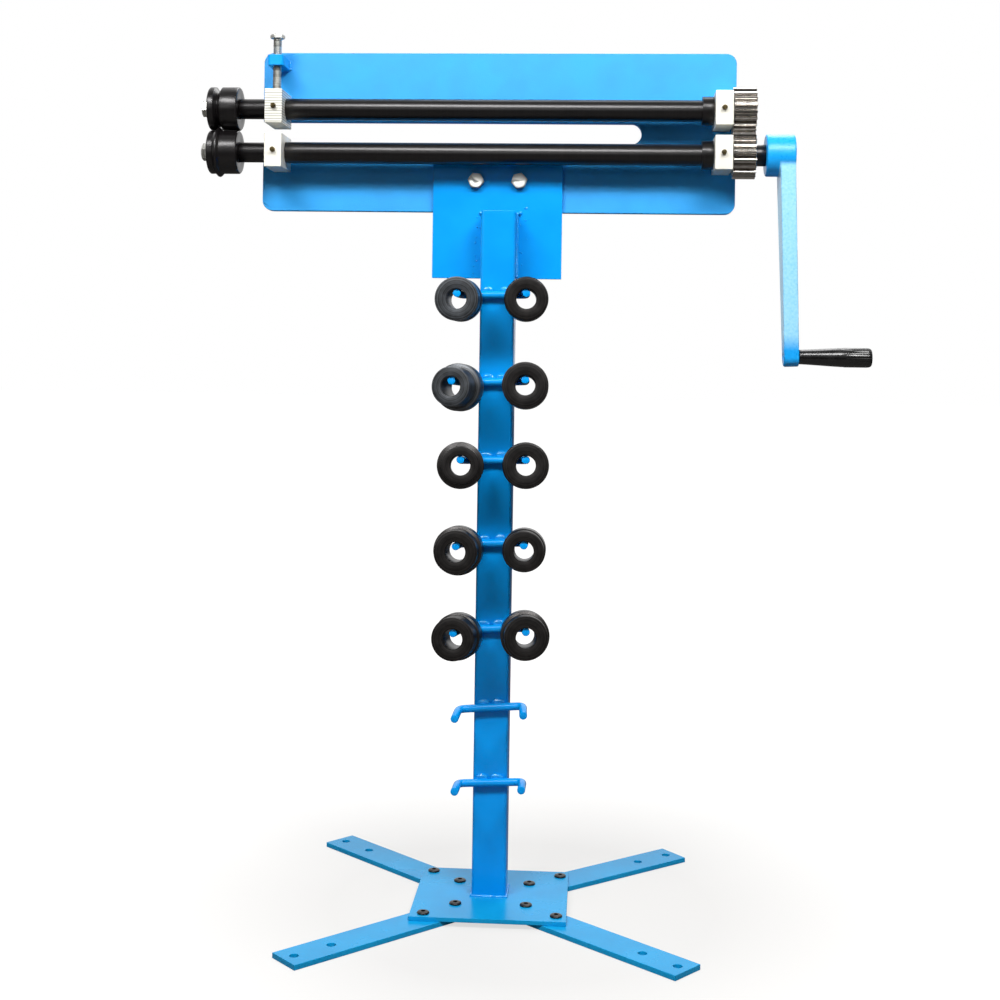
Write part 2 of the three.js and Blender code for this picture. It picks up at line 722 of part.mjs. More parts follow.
function makeHooks() {
  const corners = [];
  for (let i = 0; i < rodSides; i += 1) {
    const angle = 2 * Math.PI * (i + 0.5) / rodSides;
    corners.push([rodRadius * Math.cos(angle), rodRadius * Math.sin(angle)]);
  }
  const section = polygon(corners);
  hooks.forEach((hook, row) => {
    const [left, right] = hook.splayDegrees.map((degrees, i) => hookArm(2 * i - 1, degrees));
    const extrudePath = new THREE.CurvePath();
    extrudePath.add(new THREE.LineCurve3(left.tip, left.start));
    extrudePath.add(new THREE.QuadraticBezierCurve3(left.start, left.corner, left.bar));
    extrudePath.add(new THREE.LineCurve3(left.bar, right.bar));
    extrudePath.add(new THREE.QuadraticBezierCurve3(right.bar, right.corner, right.start));
    extrudePath.add(new THREE.LineCurve3(right.start, right.tip));
    const bar = new THREE.ExtrudeGeometry(section, { steps: rodSteps, extrudePath, bevelEnabled: false });
    add(`hook_${row + 1}`, bar.applyMatrix4(hookPlace(hook)), bluePaint);
  });
}

// Spare dies, each hanging on one arm of a hook by the top of its bore and lying along the arm
function makeSpareDies() {
  const drop = dieBoreRadius - rodRadius - fit;
  const towardsFront = new THREE.Vector3(0, -1, 0);
  spareDiePairs.forEach((pair, row) => {
    const place = hookPlace(hooks[row]);
    pair.forEach((form, i) => {
      const arm = hookArm(2 * i - 1, hooks[row].splayDegrees[i]);
      const tip = arm.tip.applyMatrix4(place);
      const forward = tip.clone().sub(arm.start.applyMatrix4(place)).normalize();
      const down = new THREE.Vector3(0, 0, -1).projectOnPlane(forward).normalize();
      const front = tip.addScaledVector(forward, spareDieProud).addScaledVector(down, drop);
      const { radii, shares } = spareDieForms[form];
      const body = turned('y', [
        [0, dieBoreRadius],
        ...shares.map((share, k) => [share * spareDieLength, radii[k]]),
        [spareDieLength, dieBoreRadius],
        [0, dieBoreRadius],
      ], dieSides);
      body.applyQuaternion(new THREE.Quaternion().setFromUnitVectors(towardsFront, forward));
      body.translate(front.x, front.y, front.z);
      add(`spare_die_${row + 1}_${['left', 'right'][i]}`, body, blackOxide);
    });
  });
}

makeFoot();
makePost();
makePlates();
makeHooks();
makeSpareDies();
makeAdjuster();
makeBlocks();
makeShaft('shaft_upper', upperZ, gearRight);
makeShaft('shaft_lower', lowerZ, hubRight - shaftInset);
makeDie('die_upper', upperZ, -grooveDepth);
makeDie('die_lower', lowerZ, beadHeight);
makeDieBolt('die_bolt_upper', upperZ);
makeDieBolt('die_bolt_lower', lowerZ);
makeGear('gear_upper', upperZ, Math.PI / 2 + Math.PI / gearTeeth);
makeGear('gear_lower', lowerZ, Math.PI / 2);
makeCrank();

// The origin is on the floor, below the middle of the whole outline
const extent = new THREE.Box3().setFromObject(beadRoller);
const middle = extent.getCenter(new THREE.Vector3());
beadRoller.position.set(-middle.x, -middle.y, -extent.min.z);

export default beadRoller;
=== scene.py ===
import bpy
import math
import random
from mathutils import Matrix, Vector


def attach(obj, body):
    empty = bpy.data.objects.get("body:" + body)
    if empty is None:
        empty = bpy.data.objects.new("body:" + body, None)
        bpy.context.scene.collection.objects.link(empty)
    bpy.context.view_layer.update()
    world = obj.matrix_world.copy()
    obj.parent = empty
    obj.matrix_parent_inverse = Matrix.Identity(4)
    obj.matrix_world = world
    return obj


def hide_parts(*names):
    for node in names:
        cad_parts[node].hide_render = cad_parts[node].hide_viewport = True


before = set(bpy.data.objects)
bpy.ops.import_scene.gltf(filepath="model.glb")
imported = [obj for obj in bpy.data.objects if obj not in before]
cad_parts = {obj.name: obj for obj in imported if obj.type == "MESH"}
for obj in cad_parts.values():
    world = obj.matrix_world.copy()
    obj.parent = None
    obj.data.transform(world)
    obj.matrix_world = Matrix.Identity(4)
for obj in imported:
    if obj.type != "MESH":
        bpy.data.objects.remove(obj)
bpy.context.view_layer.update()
rowShift = (-0.03938116, 0.01154072)  # from the post axis on the floor to the row frame, in metres
random.seed(7)


# the camera stands where the photographer stood; lengths in mm from the post axis, angles in degrees,
# focal and horizon in pixels of a picture that is so many pixels wide

view = {
    "focal": 1510.3, "side": 3.02, "height": 639.26, "distance": 1767.98, "yaw": -3.604, "roll": 0.827,
    "horizon": 354.03, "pixels": 1000, "sensor": 36,
}


def setCamera():
    lens = bpy.data.cameras.new("camera")
    camera = bpy.data.objects.new("camera", lens)
    bpy.context.scene.collection.objects.link(camera)
    bpy.context.scene.camera = camera
    yaw = math.radians(view["yaw"])
    side, back = view["side"] / 1000, -view["distance"] / 1000
    camera.location = (
        side * math.cos(yaw) + back * math.sin(yaw) + rowShift[0],
        -side * math.sin(yaw) + back * math.cos(yaw) + rowShift[1],
        view["height"] / 1000,
    )
    turn = rotate(-yaw, "Z") @ rotate(math.radians(90), "X")
    turn = turn @ rotate(math.radians(view["roll"]), "Z")
    camera.rotation_euler = turn.to_euler()
    lens.sensor_width = view["sensor"]
    lens.lens = view["focal"] / view["pixels"] * view["sensor"]
    lens.shift_y = -(view["pixels"] / 2 - view["horizon"]) / view["pixels"]
    lens.clip_end = 60


def linear(hexColour):
    channels = [int(hexColour[i:i + 2], 16) / 255 for i in (1, 3, 5)]
    return tuple(c / 12.92 if c <= 0.04045 else ((c + 0.055) / 1.055) ** 2.4 for c in channels) + (1,)


def addNode(tree, kind, settings=None, links=None):
    node = tree.nodes.new(kind)
    for key, value in (settings or {}).items():
        if key == "stops":
            ramp = node.color_ramp.elements
            for number, (place, colour) in enumerate(value):
                stop = ramp[number] if number < 2 else ramp.new(place)
                stop.position = place
                stop.color = linear(colour) if isinstance(colour, str) else (colour, colour, colour, 1)
        elif isinstance(key, int) or key in node.inputs:
            node.inputs[key].default_value = value
        else:
            setattr(node, key, value)
    for key, socket in (links or {}).items():
        tree.links.new(socket, node.inputs[key])
    return node


def newMaterial(name, constants):
    material = bpy.data.materials.new(name)
    material.use_nodes = True
    shader = material.node_tree.nodes["Principled BSDF"]
    for key, value in constants.items():
        shader.inputs[key].default_value = value
    return material, material.node_tree


def shades(tree, source, stops):
    return addNode(tree, "ShaderNodeValToRGB", {"stops": stops}, {"Fac": source}).outputs["Color"]


def spread(tree, source, low, high, toLow=0, toHigh=1):
    limits = {"From Min": low, "From Max": high, "To Min": toLow, "To Max": toHigh}
    return addNode(tree, "ShaderNodeMapRange", limits, {"Value": source}).outputs["Result"]


def noise(tree, coords, scale, detail):
    node = addNode(tree, "ShaderNodeTexNoise", {"Scale": scale, "Detail": detail}, {"Vector": coords})
    return node.outputs["Fac"]


def calculate(tree, operation, first, second):
    # the second value is a plain number or another socket
    if isinstance(second, float):
        node = addNode(tree, "ShaderNodeMath", {"operation": operation, 1: second}, {0: first})
    else:
        node = addNode(tree, "ShaderNodeMath", {"operation": operation}, {0: first, 1: second})
    return node.outputs["Value"]


def cover(material, colour, gloss, height, strength, depth):
    tree = material.node_tree
    shader = tree.nodes["Principled BSDF"]
    bump = addNode(tree, "ShaderNodeBump", {"Strength": strength, "Distance": depth}, {"Height": height})
    tree.links.new(colour, shader.inputs["Base Color"])
    tree.links.new(gloss, shader.inputs["Roughness"])
    tree.links.new(bump.outputs["Normal"], shader.inputs["Normal"])
    return material


# Polyester powder coat on the post, mount plate, hooks and lug: even glossy azure with a faint cloudiness
# of film thickness
powderCoat = {
    "name": "azurePowderCoat", "deep": "#0093E6", "plain": "#009CF1", "cloudMm": 60,
    "peelMm": 1.6, "peelDepth": 0.00003, "smooth": 0.18, "rough": 0.28, "specular": 0.3,
}
# The foot came from another batch of paint: the same azure a shade greener and paler
footCoat = {
    "name": "azurePowderCoatFoot", "deep": "#0A9AD6", "plain": "#12A4E0", "cloudMm": 60,
    "peelMm": 1.6, "peelDepth": 0.00003, "smooth": 0.2, "rough": 0.3, "specular": 0.24,
}
# Over the welds the coat is the same but lies thicker, wet looking and uneven
weldCoat = {
    "name": "powderCoatOverWeld", "deep": "#0092E4", "plain": "#17A6F3", "cloudMm": 6,
    "peelMm": 1.1, "peelDepth": 0.0003, "smooth": 0.1, "rough": 0.22, "specular": 0.8,
}
# The head plate carries the same azure in a fine sand texture, so its sheen is broad and slightly grainy
sandCoat = {
    "name": "sandTexturedPowderCoat", "deep": "#1097E3", "plain": "#179FED", "cloudMm": 40,
    "peelMm": 1.5, "peelDepth": 0.00022, "smooth": 0.52, "rough": 0.64, "specular": 0.6,
}
# The same coat over a sand casting, whose grain shows through it, with a painted sheen: the arm's web is
# painted paler
castCoat = {
    "name": "coatedCasting", "deep": "#0C9CEC", "plain": "#16A6F4", "cloudMm": 3,
    "peelMm": 1.3, "peelDepth": 0.0003, "smooth": 0.26, "rough": 0.4, "specular": 0.5,
    "sheenPaintedLow": "#8ED2F7", "sheenPaintedHigh": "#A2DCFA", "sheenPaintedLeft": 321.6, "sheenPaintedFrom": 648, "sheenPaintedTo": 865,
    "sheenPaintedEdge": 6,
}


def coatMaterial(look):
    material, tree = newMaterial(look["name"], {"IOR": 1.5, "Specular IOR Level": look["specular"]})
    coords = addNode(tree, "ShaderNodeTexCoord").outputs["Object"]
    cloud = noise(tree, coords, scale=1000 / look["cloudMm"], detail=4)
    colour = shades(tree, cloud, [(0.35, look["deep"]), (0.65, look["plain"])])
    if "sheenPaintedLow" in look:
        # between its two ends the arm is painted pale, a painted sheen standing for the lamps' glare on the
        # casting
        low, high, edge = look["sheenPaintedFrom"] / 1000, look["sheenPaintedTo"] / 1000, look["sheenPaintedEdge"] / 1000
        place = addNode(tree, "ShaderNodeSeparateXYZ", None, {"Vector": coords})
        rise = spread(tree, place.outputs["Z"], low, low + 3 * edge)
        fall = spread(tree, place.outputs["Z"], high, high - edge)
        armSide = calculate(tree, "GREATER_THAN", place.outputs["X"], spot(look["sheenPaintedLeft"], 0, 0).x)
        arm = calculate(tree, "MULTIPLY", calculate(tree, "MULTIPLY", rise, fall), armSide)
        pale = shades(tree, cloud, [(0.35, look["sheenPaintedLow"]), (0.65, look["sheenPaintedHigh"])])
        mixed = addNode(tree, "ShaderNodeMix", {"data_type": "RGBA"}, {0: arm, 6: colour, 7: pale})
        colour = mixed.outputs[2]
    gloss = spread(tree, cloud, 0.3, 0.7, look["smooth"], look["rough"])
    peel = noise(tree, coords, scale=1000 / look["peelMm"], detail=2)
    return cover(material, colour, gloss, peel, strength=0.6, depth=look["peelDepth"])


# Black oxide on turned steel: almost black, satin, with faint rings from the lathe about 1 mm apart
blackOxide = {
    "name": "blackOxidedSteel", "dark": "#141213", "light": "#1C191A", "metallic": 0.5, "specular": 0.8,
    "smooth": 0.28, "rough": 0.3, "ringMm": 1.1, "ringDepth": 0.000001,
}
# On two spare dies the oxide is painted grey as a painted sheen of the lamps, and the rings of the facing cut
# show in it as bumps and as painted light rings
paintedSheenOxide = {
    "name": "blackOxidePaintedSheen", "dark": "#0E0F10", "light": "#4E5257", "metallic": 0.5, "specular": 0.8,
    "smooth": 0.38, "rough": 0.41, "ringMm": 1.4, "ringDepth": 0.00004,
}
# On the other spare dies it is deep and oily, nearly brown black
deepOxide = {
    "name": "oiledBlackOxide", "dark": "#0A0909", "light": "#2C2928", "metallic": 0.5, "specular": 0.6,
    "smooth": 0.32, "rough": 0.36, "ringMm": 1.4, "ringDepth": 0.00002,
}
# Bare hobbed steel of the gear teeth: a warm grey that mirrors the lamps sharply
gearSteel = {
    "name": "hobbedGearSteel", "dark": "#ABA6A0", "light": "#B9B5B0", "metallic": 1.0,
    "smooth": 0.14, "rough": 0.15, "ringMm": 6.0, "ringDepth": 0.000001, "specular": 0.5,
}
# Bright zinc plate on bolts: white metal with a faint haze
brightZinc = {
    "name": "brightZincPlate", "dark": "#9C9B95", "light": "#D6D6D2", "metallic": 1.0,
    "smooth": 0.42, "rough": 0.52, "ringMm": 1.3, "ringDepth": 0.00003, "specular": 0.5,
}
# Brass of the grease nipples, dulled by the grease
nippleBrass = {
    "name": "greasyBrass", "dark": "#3E3626", "light": "#8F7D50", "metallic": 0.9,
    "smooth": 0.22, "rough": 0.4, "ringMm": 2.0, "ringDepth": 0.00001, "specular": 0.5,
}


def turnedMetal(look):
    # the attribute holds the place along the axis and the radius in mm, so the rings follow the turning
    constants = {"Metallic": look["metallic"], "Specular IOR Level": look["specular"]}
    material, tree = newMaterial(look["name"], constants)
    lathe = addNode(tree, "ShaderNodeAttribute", {"attribute_name": "lathe"}).outputs["Vector"]
    scaled = {"operation": "SCALE", "Scale": 1 / look["ringMm"]}
    stretch = addNode(tree, "ShaderNodeVectorMath", scaled, {0: lathe})
    rings = noise(tree, stretch.outputs["Vector"], scale=1, detail=2)
    haze = noise(tree, addNode(tree, "ShaderNodeTexCoord").outputs["Object"], scale=110, detail=3)
    both = addNode(tree, "ShaderNodeMath", {"operation": "MULTIPLY_ADD", 1: 0.35}, {0: haze, 2: rings})
    tint = shades(tree, both.outputs["Value"], [(0.5, look["dark"]), (0.85, look["light"])])
    gloss = spread(tree, haze, 0.35, 0.65, look["smooth"], look["rough"])
    return cover(material, tint, gloss, rings, strength=0.5, depth=look["ringDepth"])


# The upper block at the dies is mild steel as the mill left it: pale metal with feed marks across the face
milledSteel = {
    "name": "milledSteel", "dark": "#96948C", "light": "#E6E4DA", "lineMm": 3.0, "stops": (0.06, 0.34),
    "depth": 0.00008, "smooth": 0.32, "rough": 0.48,
}
# The other blocks are ground: paler, with marks too fine to tell apart
groundSteel = {
    "name": "groundSteel", "dark": "#E4E1D6", "light": "#F0EDE2", "lineMm": 1.1, "stops": (0.2, 0.8),
    "depth": 0.000004, "smooth": 0.36, "rough": 0.5,
}


def milledMaterial(look):
    # one wave of the band texture is pi / 10 long at a scale of 1
    material, tree = newMaterial(look["name"], {"Metallic": 0.35, "Specular IOR Level": 0.4})
    coords = addNode(tree, "ShaderNodeTexCoord").outputs["Object"]
    scale = math.pi / 10 / look["lineMm"] * 1000
    bands = {"bands_direction": "Z", "Scale": scale, "Distortion": 0.5, "Detail": 1.0}
    feed = addNode(tree, "ShaderNodeTexWave", bands, {"Vector": coords}).outputs["Fac"]
    tint = shades(tree, feed, list(zip(look["stops"], (look["dark"], look["light"]))))
    speckle = noise(tree, coords, scale=180, detail=4)
    gloss = spread(tree, speckle, 0.3, 0.7, look["smooth"], look["rough"])
    return cover(material, tint, gloss, feed, strength=0.6, depth=look["depth"])


# Moulded phenolic of the grip: black and glossy, with slight sink marks and handling haze
phenolic = {
    "name": "blackPhenolic", "dark": "#040405", "light": "#0D0D0E", "smooth": 0.18, "rough": 0.3,
    "sinkDepth": 0.000002,
}


def phenolicMaterial(look):
    material, tree = newMaterial(look["name"], {"IOR": 1.55, "Specular IOR Level": 0.55})
    coords = addNode(tree, "ShaderNodeTexCoord").outputs["Object"]
    haze = noise(tree, coords, scale=90, detail=6)
    tint = shades(tree, haze, [(0.3, look["dark"]), (0.8, look["light"])])
    gloss = spread(tree, haze, 0.35, 0.65, look["smooth"], look["rough"])
    sink = noise(tree, coords, scale=260, detail=1)
    return cover(material, tint, gloss, sink, strength=0.3, depth=look["sinkDepth"])


def clearSelection():
    if bpy.context.mode != "OBJECT":
        bpy.ops.object.mode_set(mode="OBJECT")
    bpy.ops.object.select_all(action="DESELECT")


def pick(*pieces):
    clearSelection()
    for piece in pieces:
        piece.select_set(True)
    bpy.context.view_layer.objects.active = pieces[0]


def openForEdit(piece, mode="FACE"):
    pick(piece)
    bpy.ops.object.mode_set(mode="EDIT")
    bpy.ops.mesh.select_mode(type=mode)
    bpy.ops.mesh.select_all(action="SELECT")


def closeEdit():
    bpy.ops.object.mode_set(mode="OBJECT")


def openChosen(piece, mode, wanted):
    # opens a piece with only those vertices, edges or faces selected that wanted accepts
    openForEdit(piece, mode)
    bpy.ops.mesh.select_all(action="DESELECT")
    closeEdit()
    parts = {"VERT": piece.data.vertices, "EDGE": piece.data.edges, "FACE": piece.data.polygons}[mode]
    for part in parts:
        part.select = wanted(part)
    bpy.ops.object.mode_set(mode="EDIT")


def modify(piece, kind, **settings):
    pick(piece)
    modifier = piece.modifiers.new(kind.lower(), kind)
    for key, value in settings.items():
        setattr(modifier, key, value)
    bpy.ops.object.modifier_apply(modifier=modifier.name)


def soften(piece, widthMm, segments=2, degrees=30):
    limit = math.radians(degrees)
    modify(piece, "BEVEL", width=widthMm / 1000, segments=segments, limit_method="ANGLE", angle_limit=limit)


def smooth(piece, degrees=32, flat=False):
    pick(piece)
    bpy.ops.object.shade_smooth_by_angle(angle=math.radians(degrees))
    if flat:
        modify(piece, "WEIGHTED_NORMAL", keep_sharp=True)


def tidyNormals(piece):
    openForEdit(piece)
    bpy.ops.mesh.remove_doubles(threshold=0.00001)
    bpy.ops.mesh.normals_make_consistent(inside=False)
    closeEdit()


def spot(x, y, z):
    return Vector((x / 1000 + rowShift[0], y / 1000 + rowShift[1], z / 1000))


def moveTo(x, y, z):
    return Matrix.Translation(spot(x, y, z))


def rotate(angle, axis):
    return Matrix.Rotation(angle, 4, axis)


def fresh(name):
    # names the object that an operator has just added and puts its place into its mesh
    bpy.context.object.name = name
    bpy.ops.object.transform_apply(location=True, rotation=True, scale=True)
    return bpy.context.object


def settle(piece, matrix):
    piece.matrix_world = matrix
    pick(piece)
    bpy.ops.object.transform_apply(location=True, rotation=True, scale=True)


def block(name, low, high):
    clearSelection()
    bpy.ops.mesh.primitive_cube_add(size=1, location=(0, 0, 0))
    piece = bpy.context.object
    piece.scale = [(b - a) / 1000 for a, b in zip(low, high)]
    piece.location = spot(*[(a + b) / 2 for a, b in zip(low, high)])
    return fresh(name)


def slab(name, size):
    low, high = (size["left"], size["front"], size["bottom"]), (size["right"], size["back"], size["top"])
    return block(name, low, high)


def roundCorners(piece, along, widthMm, segments, wanted=None):
    # bevels the edges that run along one axis, all of them or those that wanted accepts by their middle
    def runsAlong(edge):
        a, b = (piece.data.vertices[i].co for i in edge.vertices)
        line = b - a
        return abs(line[along]) > 0.99 * line.length and (wanted is None or wanted((a + b) / 2))

    openChosen(piece, "EDGE", runsAlong)
    bpy.ops.mesh.bevel(offset=widthMm / 1000, segments=segments, affect="EDGES")
    closeEdit()


through = 60  # mm, longer than any piece that is drilled
past = 5  # mm, what a boring tool reaches past each end of its bore


def cylinder(name, at, radiusMm, lengthMm, axis, sides=32):
    clearSelection()
    turn = {"X": (0, math.pi / 2, 0), "Y": (math.pi / 2, 0, 0), "Z": (0, 0, 0)}[axis]
    bpy.ops.mesh.primitive_cylinder_add(
        vertices=sides, radius=radiusMm / 1000, depth=lengthMm / 1000, location=spot(*at), rotation=turn,
    )
    return fresh(name)


def together(pieces, name):
    pick(*pieces)
    if len(pieces) > 1:
        bpy.ops.object.join()
    pieces[0].name = name
    return pieces[0]


def combine(piece, tool, operation="DIFFERENCE"):
    modify(piece, "BOOLEAN", operation=operation, object=tool, solver="EXACT")
    bpy.data.objects.remove(tool)


def duplicate(piece, name):
    pick(piece)
    bpy.ops.object.duplicate()
    copy = bpy.context.object
    copy.name = name
    return copy


def turnPiece(name, profile, sides=64, edge=0.4):
    # a profile of places along X and radii in mm, drawn vertex by vertex and spun round X
    clearSelection()
    bpy.ops.mesh.primitive_plane_add(size=0.001, location=(0, 0, 0))
    piece = fresh(name)
    openForEdit(piece, "VERT")
    bpy.ops.mesh.merge(type="CENTER")
    bpy.ops.transform.translate(value=(profile[0][0] / 1000, 0, profile[0][1] / 1000))
    for (placeBefore, radiusBefore), (place, radius) in zip(profile, profile[1:]):
        step = ((place - placeBefore) / 1000, 0, (radius - radiusBefore) / 1000)
        bpy.ops.mesh.extrude_region_move(TRANSFORM_OT_translate={"value": step})
    bpy.ops.mesh.select_all(action="SELECT")
    bpy.ops.mesh.spin(steps=sides, angle=2 * math.pi, center=(0, 0, 0), axis=(1, 0, 0))
    closeEdit()
    tidyNormals(piece)
    if edge:
        soften(piece, edge)
    return piece


def turnRod(name, start, end, radius, sides, edge=0):
    return turnPiece(name, [(start, 0), (start, radius), (end, radius), (end, 0)], sides, edge)


def keepTurning(piece):
    # stores for each vertex its place along X and its radius in mm, while the piece is still on its axis
    marks = piece.data.attributes.new("lathe", "FLOAT_VECTOR", "POINT")
    for vertex, mark in zip(piece.data.vertices, marks.data):
        x, y, z = vertex.co * 1000
        mark.vector = (x, math.hypot(y, z), 0)


hexForm = {"rim": 0.475, "chamfer": 30, "seatHeight": 0.08, "seatCorner": 0.93}


def hexPrism(radiusMm, lengthMm, middleMm):
    clearSelection()
    bpy.ops.mesh.primitive_cylinder_add(
        vertices=6, radius=radiusMm / 1000, depth=lengthMm / 1000, rotation=(0, math.pi / 2, 0),
        location=(middleMm / 1000, 0, 0),
    )
    return fresh("hexPrism")


def hexHead(name, acrossFlats, height):
    # along X, its seat at 0 and its chamfered end at -height
    corner = acrossFlats / 2 / math.cos(math.pi / 6)
    head = hexPrism(corner, height, -height / 2)
    head.name = name
    rim = acrossFlats * hexForm["rim"]
    chamfer = (corner - rim) * math.tan(math.radians(hexForm["chamfer"]))
    profile = [
        (-height, 0), (-height, rim), (-height + chamfer, corner), (-height * hexForm["seatHeight"], corner),
        (0, corner * hexForm["seatCorner"]), (0, 0),
    ]
    combine(head, turnPiece("hexTool", profile, sides=48, edge=0), "INTERSECT")
    return head


def bendRod(name, points, radiusMm, ripples=None, resolution=4):
    clearSelection()
    bpy.ops.curve.primitive_bezier_curve_add(location=(0, 0, 0))
    piece = bpy.context.object
    piece.name = name
    piece.data.splines.clear()
    line = piece.data.splines.new("POLY")
    line.points.add(len(points) - 1)
    for i, point in enumerate(points):
        line.points[i].co = (*point, 1)
        line.points[i].radius = ripples[i] if ripples else 1
    piece.data.dimensions = "3D"
    piece.data.bevel_depth = radiusMm / 1000
    piece.data.bevel_resolution = resolution
    piece.data.use_fill_caps = True
    bpy.ops.object.convert(target="MESH")
    piece = bpy.context.object
    tidyNormals(piece)
    return piece


ripple = {"pitch": 1.9, "points": 4, "height": 0.14, "uneven": 0.03, "end": 0.6, "wander": 0.12}


def weldBead(name, corners, radiusMm):
    # a rod whose thickness swells at each ripple of the puddle, along corners given in mm
    points, ripples = [], []
    for a, b in zip(corners, corners[1:]):
        a, b = Vector(a), Vector(b)
        steps = max(2, int((b - a).length / (ripple["pitch"] / ripple["points"])))
        for k in range(steps):
            at = a.lerp(b, k / steps)
            swell = abs(math.sin(math.pi * len(points) / ripple["points"]))
            uneven = random.uniform(-ripple["uneven"], ripple["uneven"])
            ripples.append(1 - ripple["height"] + ripple["height"] * swell + uneven)
            drift = [random.uniform(-ripple["wander"], ripple["wander"]) for _ in range(3)]
            points.append(spot(*(at + Vector(drift))))
    points.append(spot(*corners[-1]))
    ripples.append(ripple["end"])
    ripples[0] = ripple["end"]
    piece = bendRod(name, points, radiusMm, ripples, 3)
    smooth(piece, 70)
    return piece


def hand(piece, finish, body, *stoodFor):
    material, slot = finish
    piece.data.name = piece.name
    piece.data.materials.clear()
    piece.data.materials.append(material)
    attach(piece, body)
    if stoodFor:
        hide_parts(*stoodFor)


def handFlat(piece, edge, finish, body, node, segments=2, degrees=30):
    soften(piece, edge, segments, degrees)
    smooth(piece, 32, True)
    hand(piece, finish, body, node)


def handTurned(piece, degrees, matrix, finish, body, node):
    keepTurning(piece)
    smooth(piece, degrees)
    settle(piece, matrix)
    hand(piece, finish, body, node)


setCamera()
# each finish is a material and the material slot of the record that it fills
coat = coatMaterial(powderCoat), "blue_paint"
standCoat = coatMaterial(footCoat), "blue_paint"
thickCoat = coatMaterial(weldCoat), "blue_paint"
texturedCoat = coatMaterial(sandCoat), "blue_paint"
castingCoat = coatMaterial(castCoat), "hammered_blue"
oxide = turnedMetal(blackOxide), "black_oxide"
sheenLitOxide = turnedMetal(paintedSheenOxide), "black_oxide"
oilyOxide = turnedMetal(deepOxide), "black_oxide"
hobbed = turnedMetal(gearSteel), "gear_steel"
zinc = turnedMetal(brightZinc), "bright_zinc"
brass = turnedMetal(nippleBrass), "nipple_brass"
milled = milledMaterial(milledSteel), "ground_steel"
ground = milledMaterial(groundSteel), "ground_steel"
phenolicBlack = phenolicMaterial(phenolic), "black_plastic"
print("materials ready")


# a square tube on a plate that four flat bars carry

post = {"half": 20, "wall": 2.5, "corner": 3.5, "edge": 0.8, "bottom": 11, "top": 805.5}


def makePost():
    half = post["half"]
    tube = block("postTube", (-half, -half, post["bottom"]), (half, half, post["top"]))
    roundCorners(tube, 2, post["corner"], 5)
    openChosen(tube, "FACE", lambda face: abs(face.normal.z) > 0.9)
    bpy.ops.mesh.delete(type="ONLY_FACE")
    closeEdit()
    modify(tube, "SOLIDIFY", thickness=post["wall"] / 1000, offset=-1)
    handFlat(tube, post["edge"], coat, "stand", "post", 2, 60)


foot = {
    "legInner": 28, "legTip": 285.5, "legWidth": 43, "legThick": 6, "edge": 0.7, "holes": (225, 272),
    "holeRadius": 5, "plate": (176, 163, 5), "centre": (3, -8),
    "screwRoom": 10, "screwShares": (0.541, 1), "screwHole": 4.15,
    "legs": {  # side along X, side along Y, degrees from the X axis
        "front_left": (-1, -1, 44.3), "front_right": (1, -1, 40.8),
        "rear_left": (-1, 1, 42.2), "rear_right": (1, 1, 39.5),
    },
}


def legAngle(leg):
    sideX, sideY, degrees = foot["legs"][leg]
    angle = math.radians(degrees)
    return math.atan2(sideY * math.sin(angle), sideX * math.cos(angle))


def screwReaches():
    # the outer screw stays clear of the plate's edges on every leg, the inner one lies at its share of that
    wide, deep = (foot["plate"][i] / 2 - foot["screwRoom"] for i in (0, 1))
    rooms = []
    for _, _, degrees in foot["legs"].values():
        angle = math.radians(degrees)
        rooms.append(min(wide / math.cos(angle), deep / math.sin(angle)))
    return [share * min(rooms) for share in foot["screwShares"]]


def onLeg(leg, reach):
    angle = legAngle(leg)
    return foot["centre"][0] + reach * math.cos(angle), foot["centre"][1] + reach * math.sin(angle)


def makeFoot():
    reaches = screwReaches()
    half, thick = foot["legWidth"] / 2, foot["legThick"]
    bar = block("legBar", (foot["legInner"], -half, 0), (foot["legTip"], half, thick))
    holes = [(reach, foot["holeRadius"]) for reach in foot["holes"]]
    holes += [(reach, foot["screwHole"]) for reach in reaches]
    drills = [cylinder("drill", (reach, 0, thick / 2), radius, thick * 3, "Z") for reach, radius in holes]
    combine(bar, together(drills, "drills"))
    soften(bar, foot["edge"])
    smooth(bar, 32, True)
    settle(bar, Matrix.Translation((-rowShift[0], -rowShift[1], 0)))
    centreX, centreY = foot["centre"]
    for leg in foot["legs"]:
        copy = duplicate(bar, "flatBar_" + leg)
        settle(copy, moveTo(centreX, centreY, 0) @ rotate(legAngle(leg), "Z"))
        hand(copy, standCoat, "stand", "leg_" + leg)
    bpy.data.objects.remove(bar)

    wide, deep, plateThick = foot["plate"]
    left, front = centreX - wide / 2, centreY - deep / 2
    plate = block("footPlate", (left, front, thick), (left + wide, front + deep, thick + plateThick))
    places = [onLeg(leg, reach) for leg in foot["legs"] for reach in reaches]
    drills = [cylinder("drill", (x, y, thick), foot["screwHole"], thick * 5, "Z") for x, y in places]
    combine(plate, together(drills, "drills"))
    handFlat(plate, foot["edge"], standCoat, "stand", "base_plate")


buttonScrew = {
    "stem": [(-10, 0), (-10, 4), (0, 4), (0, 6.7), (0.4, 7)], "radius": 7, "height": 2.8,
    "domeFrom": 0.45, "crown": 0.42, "flat": 0.4, "steps": 8, "socket": 2.9, "depth": 2.2, "seat": 11,
}


